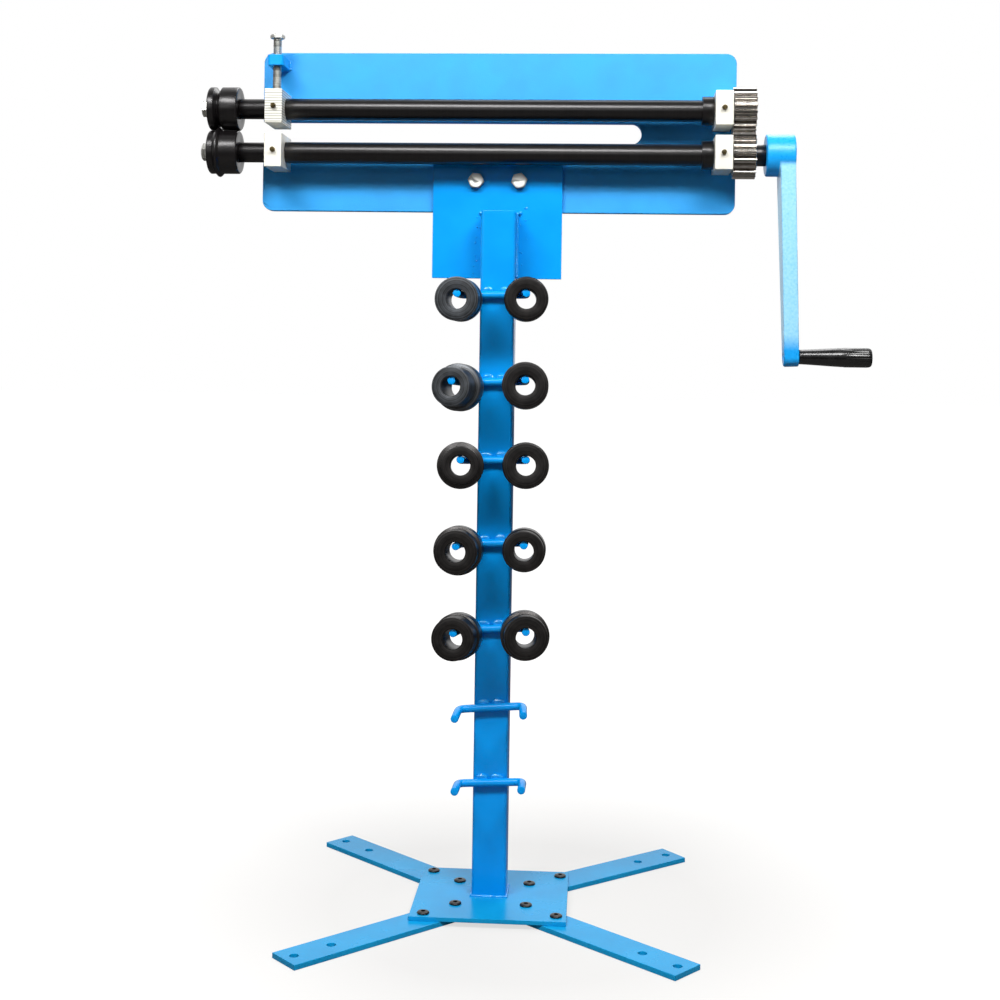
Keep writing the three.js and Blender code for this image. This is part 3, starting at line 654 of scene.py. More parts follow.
def makeButtonScrews():
    size = buttonScrew
    top, wide, rim, crown = size["height"], size["radius"], size["domeFrom"], size["crown"]
    profile = list(size["stem"])
    for step in range(1, size["steps"]):
        angle = step / size["steps"] * math.pi / 2
        rise, reach = rim + (1 - rim) * math.sin(angle), crown + (1 - crown) * math.cos(angle)
        profile.append((top * rise, wide * reach))
    profile += [(top, wide * size["flat"]), (top, 0)]
    screw = turnPiece("buttonScrew", profile, sides=40, edge=0)
    combine(screw, hexPrism(size["socket"], 2 * size["depth"], top))
    keepTurning(screw)
    smooth(screw, 30)
    for leg in foot["legs"]:
        for i, reach in enumerate(screwReaches(), 1):
            copy = duplicate(screw, f"buttonScrew_{leg}_{i}")
            turn = rotate(-math.pi / 2, "Y") @ rotate(random.uniform(0, 1), "X")
            settle(copy, moveTo(*onLeg(leg, reach), size["seat"]) @ turn)
            hand(copy, oxide, "stand", f"base_screw_{leg}_{i}")
    bpy.data.objects.remove(screw)


makePost()
makeFoot()
makeButtonScrews()
print("post and foot ready")


# the head plate with its throat, and the mount plate that joins it to the post

headPlate = {
    "left": -286.75, "right": 275.75, "bottom": 807.5, "top": 996.5, "front": 26, "back": 38, "corner": 12,
    "edge": 0.9, "throatMiddle": 901.5, "throatHalf": 12.5, "throatEnd": 152.75,
}
mountPlate = {
    "left": -80.65, "right": 72.85, "bottom": 728.5, "top": 882, "front": 20, "back": 26, "edge": 0.7,
}
mountBolt = {
    "places": {"left": (-29.55, 0.12), "right": (21.75, -0.2)},  # along X, and the turn of the head
    "z": 844, "hole": 5.15, "acrossFlats": 17, "height": 6.5, "shank": 5,
}
blockBoltLength = 21
boltTip = (1, 0.9)
# the heights of the two shafts, the places of their blocks, the rise of the upper die and its blocks' play
arbor = {
    "y": -2.5, "levels": {"upper": 924.2, "lower": 873.1}, "dieBlockX": -263.1, "gearBlockX": 257.75,
    "travel": 8, "play": 0.3,
}


def stations():
    # the four bearing blocks: level, end, place along X, height, the body each rides and its play
    high, low = arbor["levels"].values()
    for end, place, mover in (("die_end", "dieBlockX", "slider"), ("gear_end", "gearBlockX", "pivot")):
        yield "upper", end, arbor[place], high, f"{end}_{mover}", arbor["play"]
        yield "lower", end, arbor[place], low, "stand", 0


def makePlates():
    head = slab("headPlate", headPlate)
    roundCorners(head, 1, headPlate["corner"], 10)
    middle, half, end = headPlate["throatMiddle"], headPlate["throatHalf"], headPlate["throatEnd"]
    middleY = (headPlate["front"] + headPlate["back"]) / 2
    slot = block("throatTool", (headPlate["left"] - 30, 0, middle - half), (end, 70, middle + half))
    combine(slot, cylinder("throatTool", (end, middleY, middle), half, through, "Y", 64), "UNION")
    combine(head, slot)
    left, right, reach = arbor["dieBlockX"], arbor["gearBlockX"], mountBolt["hole"]
    high, low = arbor["levels"].values()
    bolts = [(x, mountBolt["z"]) for x, _ in mountBolt["places"].values()]
    places = bolts + [(left, low), (right, low), (right, high)]
    drills = [cylinder("drill", (x, middleY, z), reach, through, "Y") for x, z in places]
    combine(head, together(drills, "drills"))
    guide = block("guideTool", (left - reach, 0, high), (left + reach, 70, high + arbor["travel"]))
    for z in (high, high + arbor["travel"]):
        combine(guide, cylinder("drill", (left, middleY, z), reach, through, "Y"), "UNION")
    combine(head, guide)
    handFlat(head, headPlate["edge"], texturedCoat, "stand", "head_plate")

    mount = slab("mountPlate", mountPlate)
    drills = [cylinder("drill", (x, mountPlate["front"], z), reach, through, "Y") for x, z in bolts]
    combine(mount, together(drills, "drills"))
    handFlat(mount, mountPlate["edge"], coat, "stand", "mount_plate")


def hexBolt(name, acrossFlats, height, shankRadius, shankLength):
    # along X, its seat at 0, its head towards -X and its shank towards +X
    head = hexHead(name, acrossFlats, height)
    long, deep = boltTip
    profile = [
        (-height / 2, 0), (-height / 2, shankRadius), (shankLength - long, shankRadius),
        (shankLength, shankRadius - deep), (shankLength, 0),
    ]
    bolt = together([head, turnPiece("shankPart", profile, sides=28, edge=0)], name)
    keepTurning(bolt)
    smooth(bolt, 24)
    return bolt


def makePlateBolts():
    size = mountBolt
    towardsBack = rotate(math.pi / 2, "Z")
    depth = headPlate["back"] - post["half"]
    bolt = hexBolt("plateBolt", size["acrossFlats"], size["height"], size["shank"], depth)
    for side, (x, turn) in size["places"].items():
        copy = duplicate(bolt, "plateBolt_" + side)
        settle(copy, moveTo(x, mountPlate["front"], size["z"]) @ towardsBack @ rotate(turn, "X"))
        hand(copy, zinc, "stand", "mount_bolt_" + side)
    bpy.data.objects.remove(bolt)

    towardsFront = rotate(-math.pi / 2, "Z")
    bolt = hexBolt("blockBolt", size["acrossFlats"], size["height"], size["shank"], blockBoltLength)
    for level, end, x, z, body, play in stations():
        copy = duplicate(bolt, f"blockBolt_{level}_{end}")
        turn = towardsFront @ rotate(random.uniform(0, 1), "X")
        settle(copy, moveTo(x, headPlate["back"] + play, z) @ turn)
        hand(copy, zinc, body, f"block_bolt_{level}_{end}")
    bpy.data.objects.remove(bolt)


makePlates()
makePlateBolts()
print("plates ready")


# seven bars bent by hand and welded to the post; the upper five carry spare dies

hook = {
    "rod": 4.5, "halfSpan": 37.5, "bend": 9, "reach": 44, "y": -24.5, "edge": 0.6,
    "rows": [  # height share of the post, lean, rise, splay left and right in degrees, shift in mm
        (0.8783, 0.6, 0.5, (3, 3), -3.2), (0.7536, 1.6, 3.9, (13, 2), -2.4),
        (0.6414, 0.9, 4.6, (-4, 2), -0.6), (0.5224, 2, 3, (2, 1.2), -1), (0.4, 2.4, 4, (7, 5.5), 0.3),
        (0.2869, 4.4, -1.5, (1.5, 3), 0), (0.1794, 3, 3.4, (0, 0.6), 0.5),
    ],
}


def hookArm(side, degrees):
    splay = math.radians(degrees)
    bar, bend = hook["halfSpan"] - hook["bend"], hook["bend"]
    startX, startY = bar + bend * math.cos(splay), -bend + bend * math.sin(splay)
    straight = hook["reach"] - bend
    places = {
        "bar": (bar, 0), "corner": (startX + startY * math.tan(splay), 0), "start": (startX, startY),
        "tip": (startX + straight * math.sin(splay), startY - straight * math.cos(splay)),
    }
    return {name: Vector((side * x, y, 0)) for name, (x, y) in places.items()}


def hookPlace(row):
    share, lean, rise, _, shift = hook["rows"][row]
    place = Matrix.Translation((shift, hook["y"], share * post["top"]))
    return place @ rotate(-math.radians(lean), "Y") @ rotate(-math.radians(rise), "X")


def bendPoints(arm):
    start, corner, bar = arm["start"], arm["corner"], arm["bar"]
    return [start.lerp(corner, t).lerp(corner.lerp(bar, t), t) for t in (0, 0.17, 0.33, 0.5, 0.67, 0.83, 1)]


def makeHooks():
    for row in range(len(hook["rows"])):
        place, splays = hookPlace(row), hook["rows"][row][3]
        left, right = hookArm(-1, splays[0]), hookArm(1, splays[1])
        line = [left["tip"]] + bendPoints(left) + bendPoints(right)[::-1] + [right["tip"]]
        bar = bendRod(f"hookBar_{row + 1}", [spot(*(place @ point)) for point in line], hook["rod"], None, 6)
        soften(bar, hook["edge"], 2, 60)
        smooth(bar, 40)
        hand(bar, coat, "stand", f"hook_{row + 1}")


spareDie = {
    "bore": 11.3, "length": 40, "proud": 2.5, "chamfer": 0.7, "play": 0.3,
    "forms": {  # radius and share of the length from the front face back
        "grooved": [(25, 0), (25, 0.5), (21.4, 0.575), (21, 0.6), (21.4, 0.625), (25, 0.7), (25, 1)],
        "wideGrooved": [
            (26.3, 0), (26.3, 0.4), (21.4, 0.5), (21, 0.52), (21.4, 0.54), (26.3, 0.64), (26.3, 1),
        ],
        "plain": [(23.8, 0), (25, 0.05), (25, 1)],
        "widePlain": [(25.2, 0), (26.3, 0.05), (26.3, 1)],
        "stepped": [(21.5, 0), (21.5, 0.1), (26.6, 0.12), (26.6, 1)],
        "smallStepped": [(22.8, 0), (22.8, 0.3), (24.6, 0.33), (24.6, 1)],
        "flanged": [(22.6, 0), (22.6, 0.6), (27.4, 0.62), (27.4, 1)],
        "wideFlanged": [(24.8, 0), (24.8, 0.5), (28, 0.52), (28, 1)],
        "slimFlanged": [(24.6, 0), (24.6, 0.55), (26.8, 0.57), (26.8, 1)],
    },
    "pairs": [  # left and right, from the top hook down
        ("grooved", "plain"), ("flanged", "wideGrooved"), ("stepped", "widePlain"),
        ("wideFlanged", "smallStepped"), ("slimFlanged", "wideFlanged"),
    ],
}


def makeSpareDies():
    size = spareDie
    long, bore = size["length"], size["bore"]
    drop = bore - hook["rod"] - size["play"]
    for row, pair in enumerate(size["pairs"]):
        place, splays = hookPlace(row), hook["rows"][row][3]
        for side, form, splay, word in ((-1, pair[0], splays[0], "left"), (1, pair[1], splays[1], "right")):
            # the die hangs on its arm by the top of its bore, its front face a little proud of the tip
            arm = hookArm(side, splay)
            tip = place @ arm["tip"]
            forward = (tip - place @ arm["start"]).normalized()
            down = Vector((0, 0, -1)) - forward * -forward.z
            front = tip + forward * size["proud"] + down.normalized() * drop
            outline = [(share * long, radius) for radius, share in size["forms"][form]]
            profile = [(0, bore), *outline, (long, bore), (0, bore)]
            die = turnPiece(f"spareDie_{row + 1}_{word}", profile, sides=72, edge=size["chamfer"])
            hung = moveTo(*front) @ Vector((1, 0, 0)).rotation_difference(-forward).to_matrix().to_4x4()
            # the two upper dies on the left carry the painted sheen
            finish = sheenLitOxide if row < 2 and side < 0 else oilyOxide
            body = f"spare_die_{row + 1}_{word}"
            handTurned(die, 32, hung, finish, body, body)


makeHooks()
makeSpareDies()
print("hooks and spare dies ready")


# what carries the two shafts

bearing = {
    "half": 10.25, "front": -31, "back": 26, "halfHeight": 19.75, "edge": 0.9,
    "bores": {"die_end": 11.9, "gear_end": 12.65}, "boltHole": 5.3,
}
nipple = {  # place along its axis and radius; the ball is given by its middle, half length and radius
    "seat": 5,
    "stem": [(0, 0), (0, 2.2), (5, 2.2), (5, 2.8), (5.2, 3), (7, 3), (7.4, 2.5), (8, 1.6), (8.4, 1.6)],
    "ball": (9.5, 1.7, 2.5), "ballDegrees": range(-50, 59, 18),
    "mouth": [(11.5, 1.1), (11.5, 0.5), (10.9, 0.4), (10.9, 0)],
}
adjuster = {
    "x": -264.9, "corner": 4, "hole": 5.15, "acrossFlats": 15, "headHeight": 4.4, "headSeat": 1007.45,
    "foot": 939.25, "radius": 5, "pitch": 1.5, "plain": 3, "threadDepth": 0.75, "crest": (0.42, 0.58),
    "end": 1.4, "turn": 0.3,
}
lug = {
    "left": -274.6, "right": -255.2, "front": -15, "back": 26, "bottom": 974.45, "top": 986.95, "edge": 0.8,
}


def makeNipple(level, end, x, z, body):
    middle, reach, radius = nipple["ball"]
    profile = list(nipple["stem"])
    for degrees in nipple["ballDegrees"]:
        angle = math.radians(degrees)
        profile.append((middle + reach * math.sin(angle), radius * math.cos(angle)))
    fitting = turnPiece(f"greaseNipple_{level}_{end}", profile + nipple["mouth"], sides=32, edge=0)
    matrix = moveTo(x, bearing["front"] + nipple["seat"], z) @ rotate(-math.pi / 2, "Z")
    handTurned(fitting, 40, matrix, brass, body, f"nipple_{level}_{end}")


def makeBlocks():
    half, tall = bearing["half"], bearing["halfHeight"]
    for level, end, x, z, body, play in stations():
        low, high = (x - half, bearing["front"], z - tall), (x + half, bearing["back"] - play, z + tall)
        piece = block(f"bearingBlock_{level}_{end}", low, high)
        combine(piece, cylinder("drill", (x, arbor["y"], z), bearing["bores"][end], through, "X", 64))
        combine(piece, cylinder("drill", (x, bearing["back"], z), bearing["boltHole"], 20, "Y"))
        adjusted = (level, end) == ("upper", "die_end")
        if adjusted:
            top = (adjuster["x"], arbor["y"], z + tall)
            combine(piece, cylinder("drill", top, adjuster["hole"], 10, "Z"))
        finish = milled if adjusted else ground
        handFlat(piece, bearing["edge"], finish, body, f"block_{level}_{end}", 2, 40)
        makeNipple(level, end, x, z, body)


def makeAdjuster():
    size = adjuster
    piece = slab("adjusterLug", lug)
    frontY = spot(0, lug["front"], 0).y
    roundCorners(piece, 2, size["corner"], 6, lambda middle: abs(middle.y - frontY) < 0.001)
    combine(piece, cylinder("drill", (size["x"], arbor["y"], lug["top"]), size["hole"], through, "Z"))
    handFlat(piece, lug["edge"], coat, "stand", "adjuster_lug")

    # each turn of the thread is drawn as a ring of its own
    head = hexHead("adjusterScrew", size["acrossFlats"], size["headHeight"])
    length, radius, pitch = size["headSeat"] - size["foot"], size["radius"], size["pitch"]
    root = radius - size["threadDepth"]
    profile = [(-1, 0), (-1, radius), (size["plain"] - 1, radius)]
    for i in range(int((length - 5) / pitch)):
        start = size["plain"] + i * pitch
        profile += [(start, root)] + [(start + pitch * share, radius) for share in size["crest"]]
    profile += [(length - 1, root), (length, radius - size["end"]), (length, 0)]
    screw = together([head, turnPiece("threadPart", profile, sides=28, edge=0)], "adjusterScrew")
    turn = rotate(math.pi / 2, "Y") @ rotate(size["turn"], "X")
    matrix = moveTo(size["x"], arbor["y"], size["headSeat"]) @ turn
    handTurned(screw, 24, matrix, zinc, "adjusting_screw", "adjusting_screw")


makeBlocks()
makeAdjuster()
print("bearings ready")


# the turning train

def onArbor(piece, degrees, finish, node, level, x=0, angle=0):
    place = moveTo(x, arbor["y"], arbor["levels"][level]) @ rotate(angle, "X")
    handTurned(piece, degrees, place, finish, level + "_arbor", f"{node}_{level}")


shaft = {  # place along X and radius from the tapped hole in the die end to the gear end
    "outline": [
        (-325.05, 0), (-325.05, 6.3), (-343.05, 6.3), (-343.05, 11), (-307.85, 11), (-307.85, 11.75),
        (-252.55, 11.75), (-252.55, 12.5), (233.9, 12.5), (233.9, 16.6), (247.2, 16.6), (247.2, 12.5),
    ],
    "radius": 12.5, "centreHole": (2.5, 2.2), "edge": 0.45, "ends": {"upper": 295.3, "lower": 338.4},
}
die = {
    "left": -343.35, "right": -307.85, "radius": 25.4, "edge": 1.2, "bore": 11.3, "beadAt": 11.3,
    "beadHalf": 4.1, "bead": 3.7, "groove": 5.2, "steps": 6,
    "boltAcrossFlats": 18, "boltHeight": 9.3, "boltShank": 5.9,
    "boltDepth": 18, "boltTurns": {"upper": 0.25, "lower": 0.8}, "washer": 1.9, "washerRadius": 10.2,
    "washerBore": 5, "sharp": 0.3, "washerEdge": 0.25,
}
gear = {
    "left": 268.9, "width": 26.4, "module": 2.5, "teeth": 20, "pressure": 20, "bore": 12.8, "edge": 0.35,
    "root": 1.25,  # modules from the pitch circle down to the root
    "fillet": ((0, 0.02), (0.5, 0.004)),  # rise above the root in mm and angle past the flank
}


def makeShafts():
    size = shaft
    depth, hole = size["centreHole"]
    for level, end in size["ends"].items():
        profile = size["outline"] + [(end, size["radius"]), (end, hole), (end - depth, 0)]
        piece = turnPiece("shaftBar_" + level, profile, sides=64, edge=size["edge"])
        onArbor(piece, 32, oxide, "shaft", level)


def beadRise(level, share):
    # the lower die carries a round bead, the upper one the groove that it rolls the sheet into
    if abs(share) >= 1:
        return 0
    if level == "lower":
        return die["bead"] * math.cos(share * math.pi / 2) ** 1.3
    return -die["groove"] * (1 - abs(share)) ** 0.9


def makeDies():
    size = die
    left, right, bore, radius, edge = (size[key] for key in ("left", "right", "bore", "radius", "edge"))
    middle, steps = left + size["beadAt"], size["steps"]
    for level, turn in size["boltTurns"].items():
        profile = [(left, bore), (left, radius - edge), (left + edge, radius)]
        for step in range(2 * steps + 1):
            share = -1 + step / steps
            profile.append((middle + share * size["beadHalf"], radius + beadRise(level, share)))
        profile += [(right - edge, radius), (right, radius - edge), (right, bore), (left, bore)]
        ring = turnPiece("formingDie_" + level, profile, sides=96, edge=size["sharp"])
        onArbor(ring, 32, oxide, "die", level)

        name, thick, wide, hole = "dieBolt_" + level, size["washer"], size["washerRadius"], size["washerBore"]
        head = hexHead(name, size["boltAcrossFlats"], size["boltHeight"] - thick)
        settle(head, Matrix.Translation((-thick / 1000, 0, 0)))
        outline = [(-thick, hole), (-thick, wide), (0, wide), (0, hole), (-thick, hole)]
        washer = turnPiece("washerPart", outline, sides=48, edge=size["washerEdge"])
        shank = turnRod("shankPart", -3, size["boltDepth"], size["boltShank"], 28)
        bolt = together([head, washer, shank], name)
        onArbor(bolt, 24, zinc, "die_bolt", level, left, turn)


def toothPoints():
    # one flank pair as radius and angle from the tooth's middle: root, involute up, tip, involute down, root
    pitch = gear["module"] * gear["teeth"] / 2
    pressure = math.radians(gear["pressure"])
    base = pitch * math.cos(pressure)
    outer, root = pitch + gear["module"], pitch - gear["root"] * gear["module"]
    rolled = math.tan(pressure) - pressure

    def halfAngle(radius):
        local = math.acos(min(1, base / radius))
        return math.pi / 2 / gear["teeth"] + rolled - (math.tan(local) - local)

    up = [(root + rise, halfAngle(base) + beyond) for rise, beyond in gear["fillet"]]
    for share in (0, 0.25, 0.5, 0.75, 1):
        radius = base + (outer - base) * share
        up.append((radius, halfAngle(radius)))
    return [(radius, -angle) for radius, angle in up] + up[::-1]


def makeGears():
    tooth, teeth = toothPoints(), gear["teeth"]
    left, right = gear["left"], gear["left"] + gear["width"]
    for level in arbor["levels"]:
        # a tooth of the lower gear points up, into a gap of the upper one
        turn = math.pi / 2 + (math.pi / teeth if level == "upper" else 0)
        clearSelection()
        facingX = (math.pi / 2, 0, math.pi / 2)
        bpy.ops.mesh.primitive_circle_add(vertices=teeth * len(tooth), radius=0.02, rotation=facingX)
        wheel = fresh("spurGear_" + level)
        ordered = sorted(wheel.data.vertices, key=lambda v: math.atan2(v.co.z, v.co.y))
        for i, vertex in enumerate(ordered):
            radius, angle = tooth[i % len(tooth)]
            angle += turn + 2 * math.pi * (i // len(tooth)) / teeth
            vertex.co = (left / 1000, radius / 1000 * math.cos(angle), radius / 1000 * math.sin(angle))
        openForEdit(wheel, "EDGE")
        bpy.ops.mesh.edge_face_add()
        bpy.ops.mesh.select_mode(type="FACE")
        bpy.ops.mesh.select_all(action="SELECT")
        bpy.ops.mesh.extrude_region_move(TRANSFORM_OT_translate={"value": (gear["width"] / 1000, 0, 0)})
        closeEdit()
        tidyNormals(wheel)
        combine(wheel, turnRod("boreTool", left - past, right + past, gear["bore"], 64))
        soften(wheel, gear["edge"], 1, 40)
        onArbor(wheel, 25, hobbed, "gear", level)


makeShafts()
makeDies()
makeGears()
print("shafts, dies and gears ready")


# the crank is one casting; the grip turns on its spindle

crank = {
    "left": 307, "right": 340.4, "hub": 24.4, "edge": 1.2, "radius": 232.3, "thick": 17.4, "root": 22.4,
    "tip": 11.3, "lean": 2.1, "inset": 0.8, "bore": 12.8, "spindleHole": 4.3, "voxel": 0.001,
}
grip = {
    "left": 348.412, "length": 83, "neck": 8.4, "belly": 11.3, "end": 8.6, "lead": 0.012, "round": 0.93,
    "flutes": 20, "fluteDepth": 0.4, "fluteFrom": 0.62, "fluteTo": 0.985, "fluteEdge": 0.7,
    "swell": 0.35, "step": 0.25, "bore": 4.2, "boreDepth": 68.5, "spindle": 4, "spindleReach": 68,
    "neckIn": 0.6, "bellyFrom": 0.628, "bellyMiddle": 0.8, "dish": (0.5, 0.4), "steps": 12, "endSteps": 6,
    "fluteLead": 1.5, "core": 8,
}


def makeArm():
    # two discs and a tapering web between them, its face at 0 on X
    size = crank
    thick, root, edge = size["thick"], size["root"], size["edge"]
    arm = turnRod("armPart", -thick, 0, root, sides=64, edge=edge)
    tip = turnRod("tipPart", -thick, 0, size["tip"], sides=48, edge=edge)
    settle(tip, Matrix.Translation((0, 0, -size["radius"] / 1000)))
    web = block("webPart", (-thick, -root, -size["radius"]), (0, root, 0))
    settle(web, Matrix.Translation((-rowShift[0], -rowShift[1], 0)))
    openChosen(web, "VERT", lambda vertex: vertex.co.z < -0.1)
    bpy.ops.transform.resize(value=(1, size["tip"] / root, 1), center_override=(0, 0, 0))
    closeEdit()
    roundCorners(web, 2, edge, 3)
    return together([arm, tip, web], "armPart")


def makeCrank():
    size = crank
    left, right, hub, edge = size["left"], size["right"], size["hub"], size["edge"]
    lower, lean, face = arbor["levels"]["lower"], math.radians(size["lean"]), right - size["inset"]
    profile = [(left, 0), (left, hub - edge), (left + edge, hub)]
    profile += [(right - edge, hub), (right, hub - edge), (right, 0)]
    hubPart = turnPiece("crankCasting", profile, sides=64, edge=0.8)
    arm = makeArm()
    settle(arm, Matrix.Translation((face / 1000, 0, 0)) @ rotate(-lean, "Y"))
    casting = together([hubPart, arm], "crankCasting")
    modify(casting, "REMESH", mode="VOXEL", voxel_size=size["voxel"], use_smooth_shade=True)
    modify(casting, "SMOOTH", factor=0.5, iterations=2)
    combine(casting, turnRod("boreTool", left - past, right + past, size["bore"], 64))
    seat = face + math.sin(lean) * size["radius"]
    hole = turnRod("boreTool", seat - 30, seat + 10, size["spindleHole"], 32)
    settle(hole, Matrix.Translation((0, 0, -size["radius"] / 1000)))
    combine(casting, hole)
    smooth(casting, 40)
    settle(casting, moveTo(0, arbor["y"], lower))
    hand(casting, castingCoat, "lower_arbor", "crank_arm")

    reach = grip["left"] + grip["spindleReach"]
    spindle = turnRod("gripSpindle", seat - size["thick"] + 1, reach, grip["spindle"], sides=32, edge=0.5)
    matrix = moveTo(0, arbor["y"], lower - size["radius"])
    handTurned(spindle, 32, matrix, zinc, "lower_arbor", "grip_spindle")


def gripProfile():
    # swells from a slim neck to the fluted belly and rounds off at the end, as shares of the length
    size = grip
    left, length, neck, belly = size["left"], size["length"], size["neck"], size["belly"]
    lead, fluted, bent = size["lead"], size["fluteFrom"], size["round"]
    outline = [(0, neck - size["neckIn"]), (lead, neck)]
    for step in range(1, size["steps"] + 1):
        share = step / size["steps"]
        rise = share * share * (3 - 2 * share) * size["swell"] + share * (1 - size["swell"])
        outline.append((lead + (fluted - lead) * share, neck + (belly - size["step"] - neck) * rise))
    outline += [(share, belly) for share in (size["bellyFrom"], size["bellyMiddle"], bent)]
    for step in range(1, size["endSteps"] + 1):
        angle = step / size["endSteps"] * math.pi / 2
        radius = belly - (belly - size["end"]) * (1 - math.cos(angle))
        outline.append((bent + (1 - bent) * math.sin(angle), radius))
    profile = [(left, size["bore"])] + [(left + share * length, radius) for share, radius in outline]
    right, deep = left + length, left + size["boreDepth"]
    share, sunk = size["dish"]
    profile += [(right, size["end"] * share), (right - sunk, 0)]
    return profile + [(deep, 0), (deep, size["bore"]), (left, size["bore"])]


def makeGrip():
    size = grip
    piece = turnPiece("crankGrip", gripProfile(), sides=120, edge=0)
    start = (size["left"] + size["fluteFrom"] * size["length"] + size["fluteLead"]) / 1000
    stop = (size["left"] + size["fluteTo"] * size["length"]) / 1000
    for vertex in piece.data.vertices:
        radius = math.hypot(vertex.co.y, vertex.co.z)
        if start < vertex.co.x < stop and radius > size["core"] / 1000:
            angle = math.atan2(vertex.co.z, vertex.co.y)
            dip = size["fluteDepth"] / 1000 * max(0, math.cos(size["flutes"] * angle)) ** size["fluteEdge"]
            vertex.co.y *= 1 - dip / radius
            vertex.co.z *= 1 - dip / radius
    smooth(piece, 40)
    settle(piece, moveTo(0, arbor["y"], arbor["levels"]["lower"] - crank["radius"]))
    hand(piece, phenolicBlack, "grip", "grip")


makeCrank()
makeGrip()
print("crank ready")


# welds under the paint

weld = {  # in mm, only the two wave measures in metres
    "foot": 2.0, "footOut": 0.3, "footUp": 0.4, "plate": 2.3, "plateIn": 0.4, "lug": 2.0, "sink": 0.6,
    "spatter": 1.0, "spatterCount": 26, "spatterSink": 0.2, "spatterReach": (2, 12),
    "lump": (1.15, 0.9), "lumpRadius": 5.8, "lumpDepth": 7, "lumpEdge": 1.9, "lumpRise": 4.2,
    "lumpAt": (-9.5, 8.5), "waveScale": 0.004, "waveDepth": 0.0016,
    "tack": 2.3, "tackOut": 3.3, "tackUp": 0.6, "seamTurn": 3, "seamUp": 1, "seamFrom": 2,
    # how far the lumps stray along their bar, in size and in angle, and how the drops vary in size
    "stray": 1.5, "wideRange": (0.85, 1.1), "tallRange": (0.9, 1.15), "twist": 0.15, "dropRange": (0.5, 1.2),
}


def makeLump():
    # the weld over a bar: a low button with a rolled edge, whose skin froze in waves
    wide, tall = weld["lump"]
    lump = cylinder("weldLump", (0, 0, 0), weld["lumpRadius"], weld["lumpDepth"], "Y", 28)
    soften(lump, weld["lumpEdge"], 4, 50)
    openForEdit(lump)
    bpy.ops.mesh.quads_convert_to_tris()
    bpy.ops.mesh.subdivide(number_cuts=1)
    closeEdit()
    lump.data.transform(Matrix.Diagonal((wide, 1, tall, 1)) @ Matrix.Translation(-spot(0, 0, 0)))
    waves = bpy.data.textures.new("weldWaves", "CLOUDS")
    waves.noise_scale = weld["waveScale"]
    modify(lump, "DISPLACE", texture=waves, strength=weld["waveDepth"], mid_level=0.5)
    smooth(lump, 70)
    return lump


def makeBall(name, radiusMm, place, detail):
    clearSelection()
    bpy.ops.mesh.primitive_ico_sphere_add(subdivisions=detail, radius=radiusMm / 1000, location=spot(*place))
    return fresh(name)


def makeSpatter(places):
    sizes = [weld["spatter"] * random.uniform(*weld["dropRange"]) for _ in places]
    drops = [makeBall("weldDrop", radius, place, 2) for radius, place in zip(sizes, places)]
    drops = together(drops, "weldSpatter")
    smooth(drops, 80)
    return drops


def makeTack(side):
    # the round start of each long seam, at the top corners of the post
    half, radius = post["half"], weld["tack"]
    place = (side * (half + weld["tackOut"]), half - radius / 2, post["top"] + weld["tackUp"])
    tack = makeBall("tackWeld_" + ("left" if side < 0 else "right"), radius, place, 3)
    smooth(tack, 80)
    return tack


def makeHookWelds():
    lump = makeLump()
    welds = []
    for row in range(len(hook["rows"])):
        place = hookPlace(row)
        for at in weld["lumpAt"]:
            along = at + random.uniform(-weld["stray"], weld["stray"])
            point = place @ Vector((along - hook["rows"][row][4], 0, 0))
            copy = duplicate(lump, f"hookWeld_{row + 1}_{'left' if at < 0 else 'right'}")
            wide, tall = random.uniform(*weld["wideRange"]), random.uniform(*weld["tallRange"])
            turn = rotate(random.uniform(-weld["twist"], weld["twist"]), "Y")
            matrix = moveTo(point.x, -post["half"], point.z + weld["lumpRise"]) @ turn
            settle(copy, matrix @ Matrix.Diagonal((wide, 1, tall, 1)))
            welds.append(copy)
    bpy.data.objects.remove(lump)
    return welds


def makeWelds():
    half, top = post["half"], post["top"]
    low, out = post["bottom"] + weld["footUp"], half + weld["footOut"]
    ring = [
        (-half, -out, low), (half, -out, low), (out, -half, low), (out, half, low), (half, out, low),
        (-half, out, low), (-out, half, low), (-out, -half, low), (-half, -out, low),
    ]
    beads = [weldBead("footWeld", ring, weld["foot"])]
    for side in (-1, 1):
        x, y = side * (half - weld["plateIn"]), half - weld["sink"]
        start, end, up = mountPlate["bottom"] + weld["seamFrom"], top - weld["seamUp"], top + weld["seamUp"]
        seam = [(x, y, start), (x, y, end), (x + side * weld["seamTurn"], y, up)]
        beads.append(weldBead("plateWeld", seam, weld["plate"]))
        beads.append(makeTack(side))
    for x in (lug["left"], lug["right"]):
        y = lug["back"] - weld["sink"]
        beads.append(weldBead("lugWeld", [(x, y, lug["bottom"] + 1), (x, y, lug["top"] - 1)], weld["lug"]))
    beads += makeHookWelds()
    front = mountPlate["front"] - weld["spatterSink"]
    places = []
    for _ in range(weld["spatterCount"]):
        x = random.choice((-1, 1)) * (half + random.uniform(*weld["spatterReach"]))
        places.append((x, front, random.uniform(mountPlate["bottom"] + 5, top + 8)))
    beads.append(makeSpatter(places))
    for bead in beads:
        bead.name = bead.name.replace(".", "_")
        hand(bead, thickCoat, "stand")


makeWelds()
print("welds ready")


# a pale floor; a soft box high on each side, a thin strip between them that draws the highlight lines, and
# weak lamps in front, above and behind

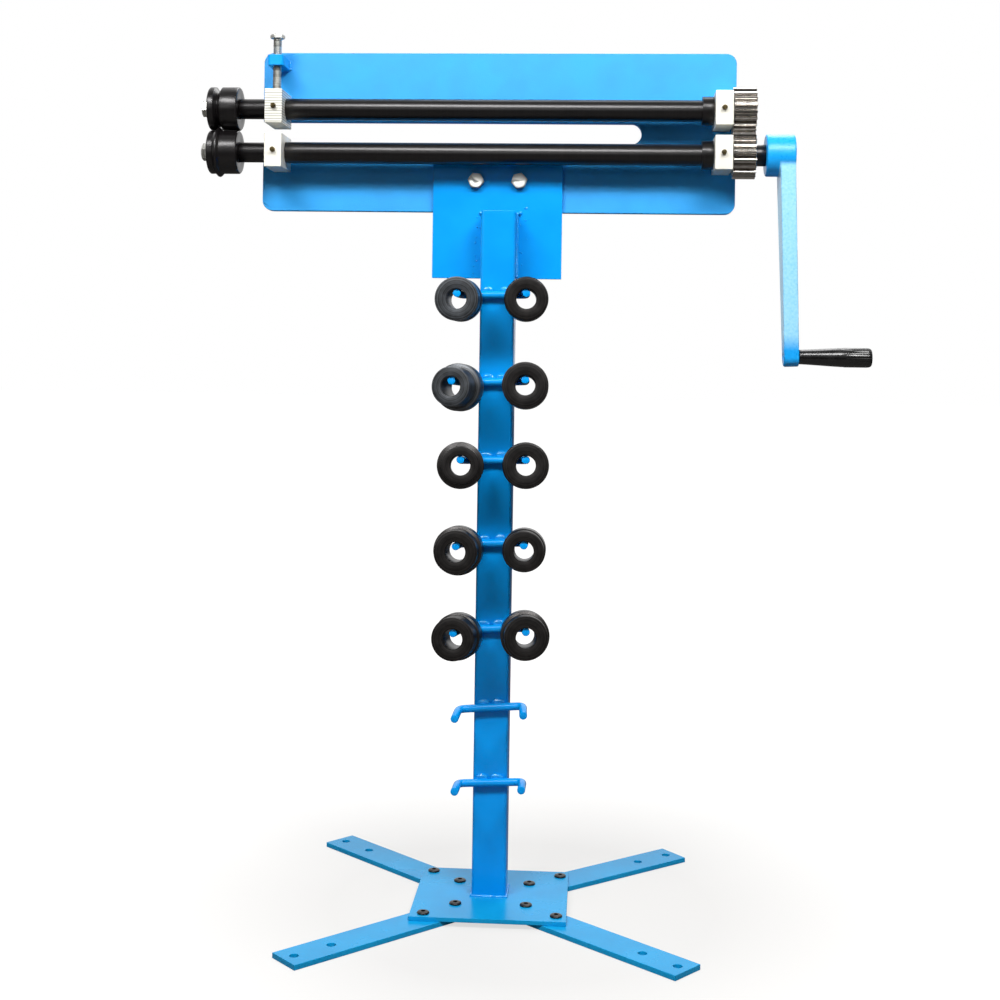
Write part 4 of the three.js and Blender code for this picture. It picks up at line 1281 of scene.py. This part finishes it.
studio = {
    "floor": "#7E7C79", "whiteFrom": 0.22, "whiteTo": 0.7, "glow": 0.67, "worldFill": 0.022,
    "roomShine": 0.22, "aim": (0, 0, 0.6),
    "lamps": {  # place, width and height in metres, power in watts
        "leftBox": ((-0.7, -1.13, 1.83), (0.8, 0.4), 23), "rightBox": ((0.7, -1.13, 1.83), (0.8, 0.4), 25),
        "strip": ((0, -1.2, 1.9), (0.6, 0.05), 6.5), "frontLamp": ((0.2, -3.2, 2.0), (1.8, 1.0), 2),
        "sideLamp": ((-1.3, -2.8, 1.3), (1.0, 0.8), 4), "topLamp": ((0, 0.7, 2.0), (1.0, 0.5), 9),
        "backLamp": ((0.6, 2.2, 2.6), (1.0, 0.8), 9),
    },
}


def aim(lamp, at):
    lamp.rotation_euler = (Vector(at) - lamp.location).to_track_quat("-Z", "Y").to_euler()


def makeFloor():
    clearSelection()
    bpy.ops.mesh.primitive_plane_add(size=40, location=(0, 0, 0))
    floor = bpy.context.object
    floor.name = "studioFloor"
    look = {"Roughness": 0.85, "Specular IOR Level": 0.1, "Emission Color": (1, 1, 1, 1)}
    material, tree = newMaterial("paleFloorPaint", {"Base Color": linear(studio["floor"]), **look})
    # to the eye the floor fades to the white of the background away from the foot
    coords = addNode(tree, "ShaderNodeTexCoord").outputs["Object"]
    away = addNode(tree, "ShaderNodeVectorMath", {"operation": "LENGTH"}, {0: coords}).outputs["Value"]
    fade = spread(tree, away, studio["whiteFrom"], studio["whiteTo"], studio["glow"])
    seen = calculate(tree, "MULTIPLY", fade, addNode(tree, "ShaderNodeLightPath").outputs["Is Camera Ray"])
    tree.links.new(seen, tree.nodes["Principled BSDF"].inputs["Emission Strength"])
    floor.data.materials.append(material)


def makeLamps():
    for name, (place, size, power) in studio["lamps"].items():
        clearSelection()
        bpy.ops.object.light_add(type="AREA", location=place)
        lamp = bpy.context.object
        lamp.name = name
        lamp.data.shape = "RECTANGLE"
        lamp.data.size, lamp.data.size_y = size
        lamp.data.energy = power
        aim(lamp, studio["aim"])


def makeWorld():
    world = bpy.data.worlds.new("studioWorld")
    bpy.context.scene.world = world
    world.use_nodes = True
    tree = world.node_tree
    background = tree.nodes["Background"]
    background.inputs["Color"].default_value = (1, 1, 1, 1)
    rays = addNode(tree, "ShaderNodeLightPath").outputs
    seen = calculate(tree, "MAXIMUM", rays["Is Camera Ray"], rays["Is Transmission Ray"])
    # a mirror sees the white backdrop behind the object and a dim room in front
    coords = addNode(tree, "ShaderNodeTexCoord").outputs["Object"]
    direction = addNode(tree, "ShaderNodeSeparateXYZ", None, {"Vector": coords})
    room = spread(tree, direction.outputs["Y"], -0.1, 0.4, studio["roomShine"])
    shine = calculate(tree, "MULTIPLY", rays["Is Glossy Ray"], room)
    level = calculate(tree, "MAXIMUM", calculate(tree, "MAXIMUM", seen, shine), studio["worldFill"])
    tree.links.new(level, background.inputs["Strength"])


makeFloor()
makeLamps()
makeWorld()
bpy.context.scene.view_settings.view_transform = "Standard"
print("studio ready")
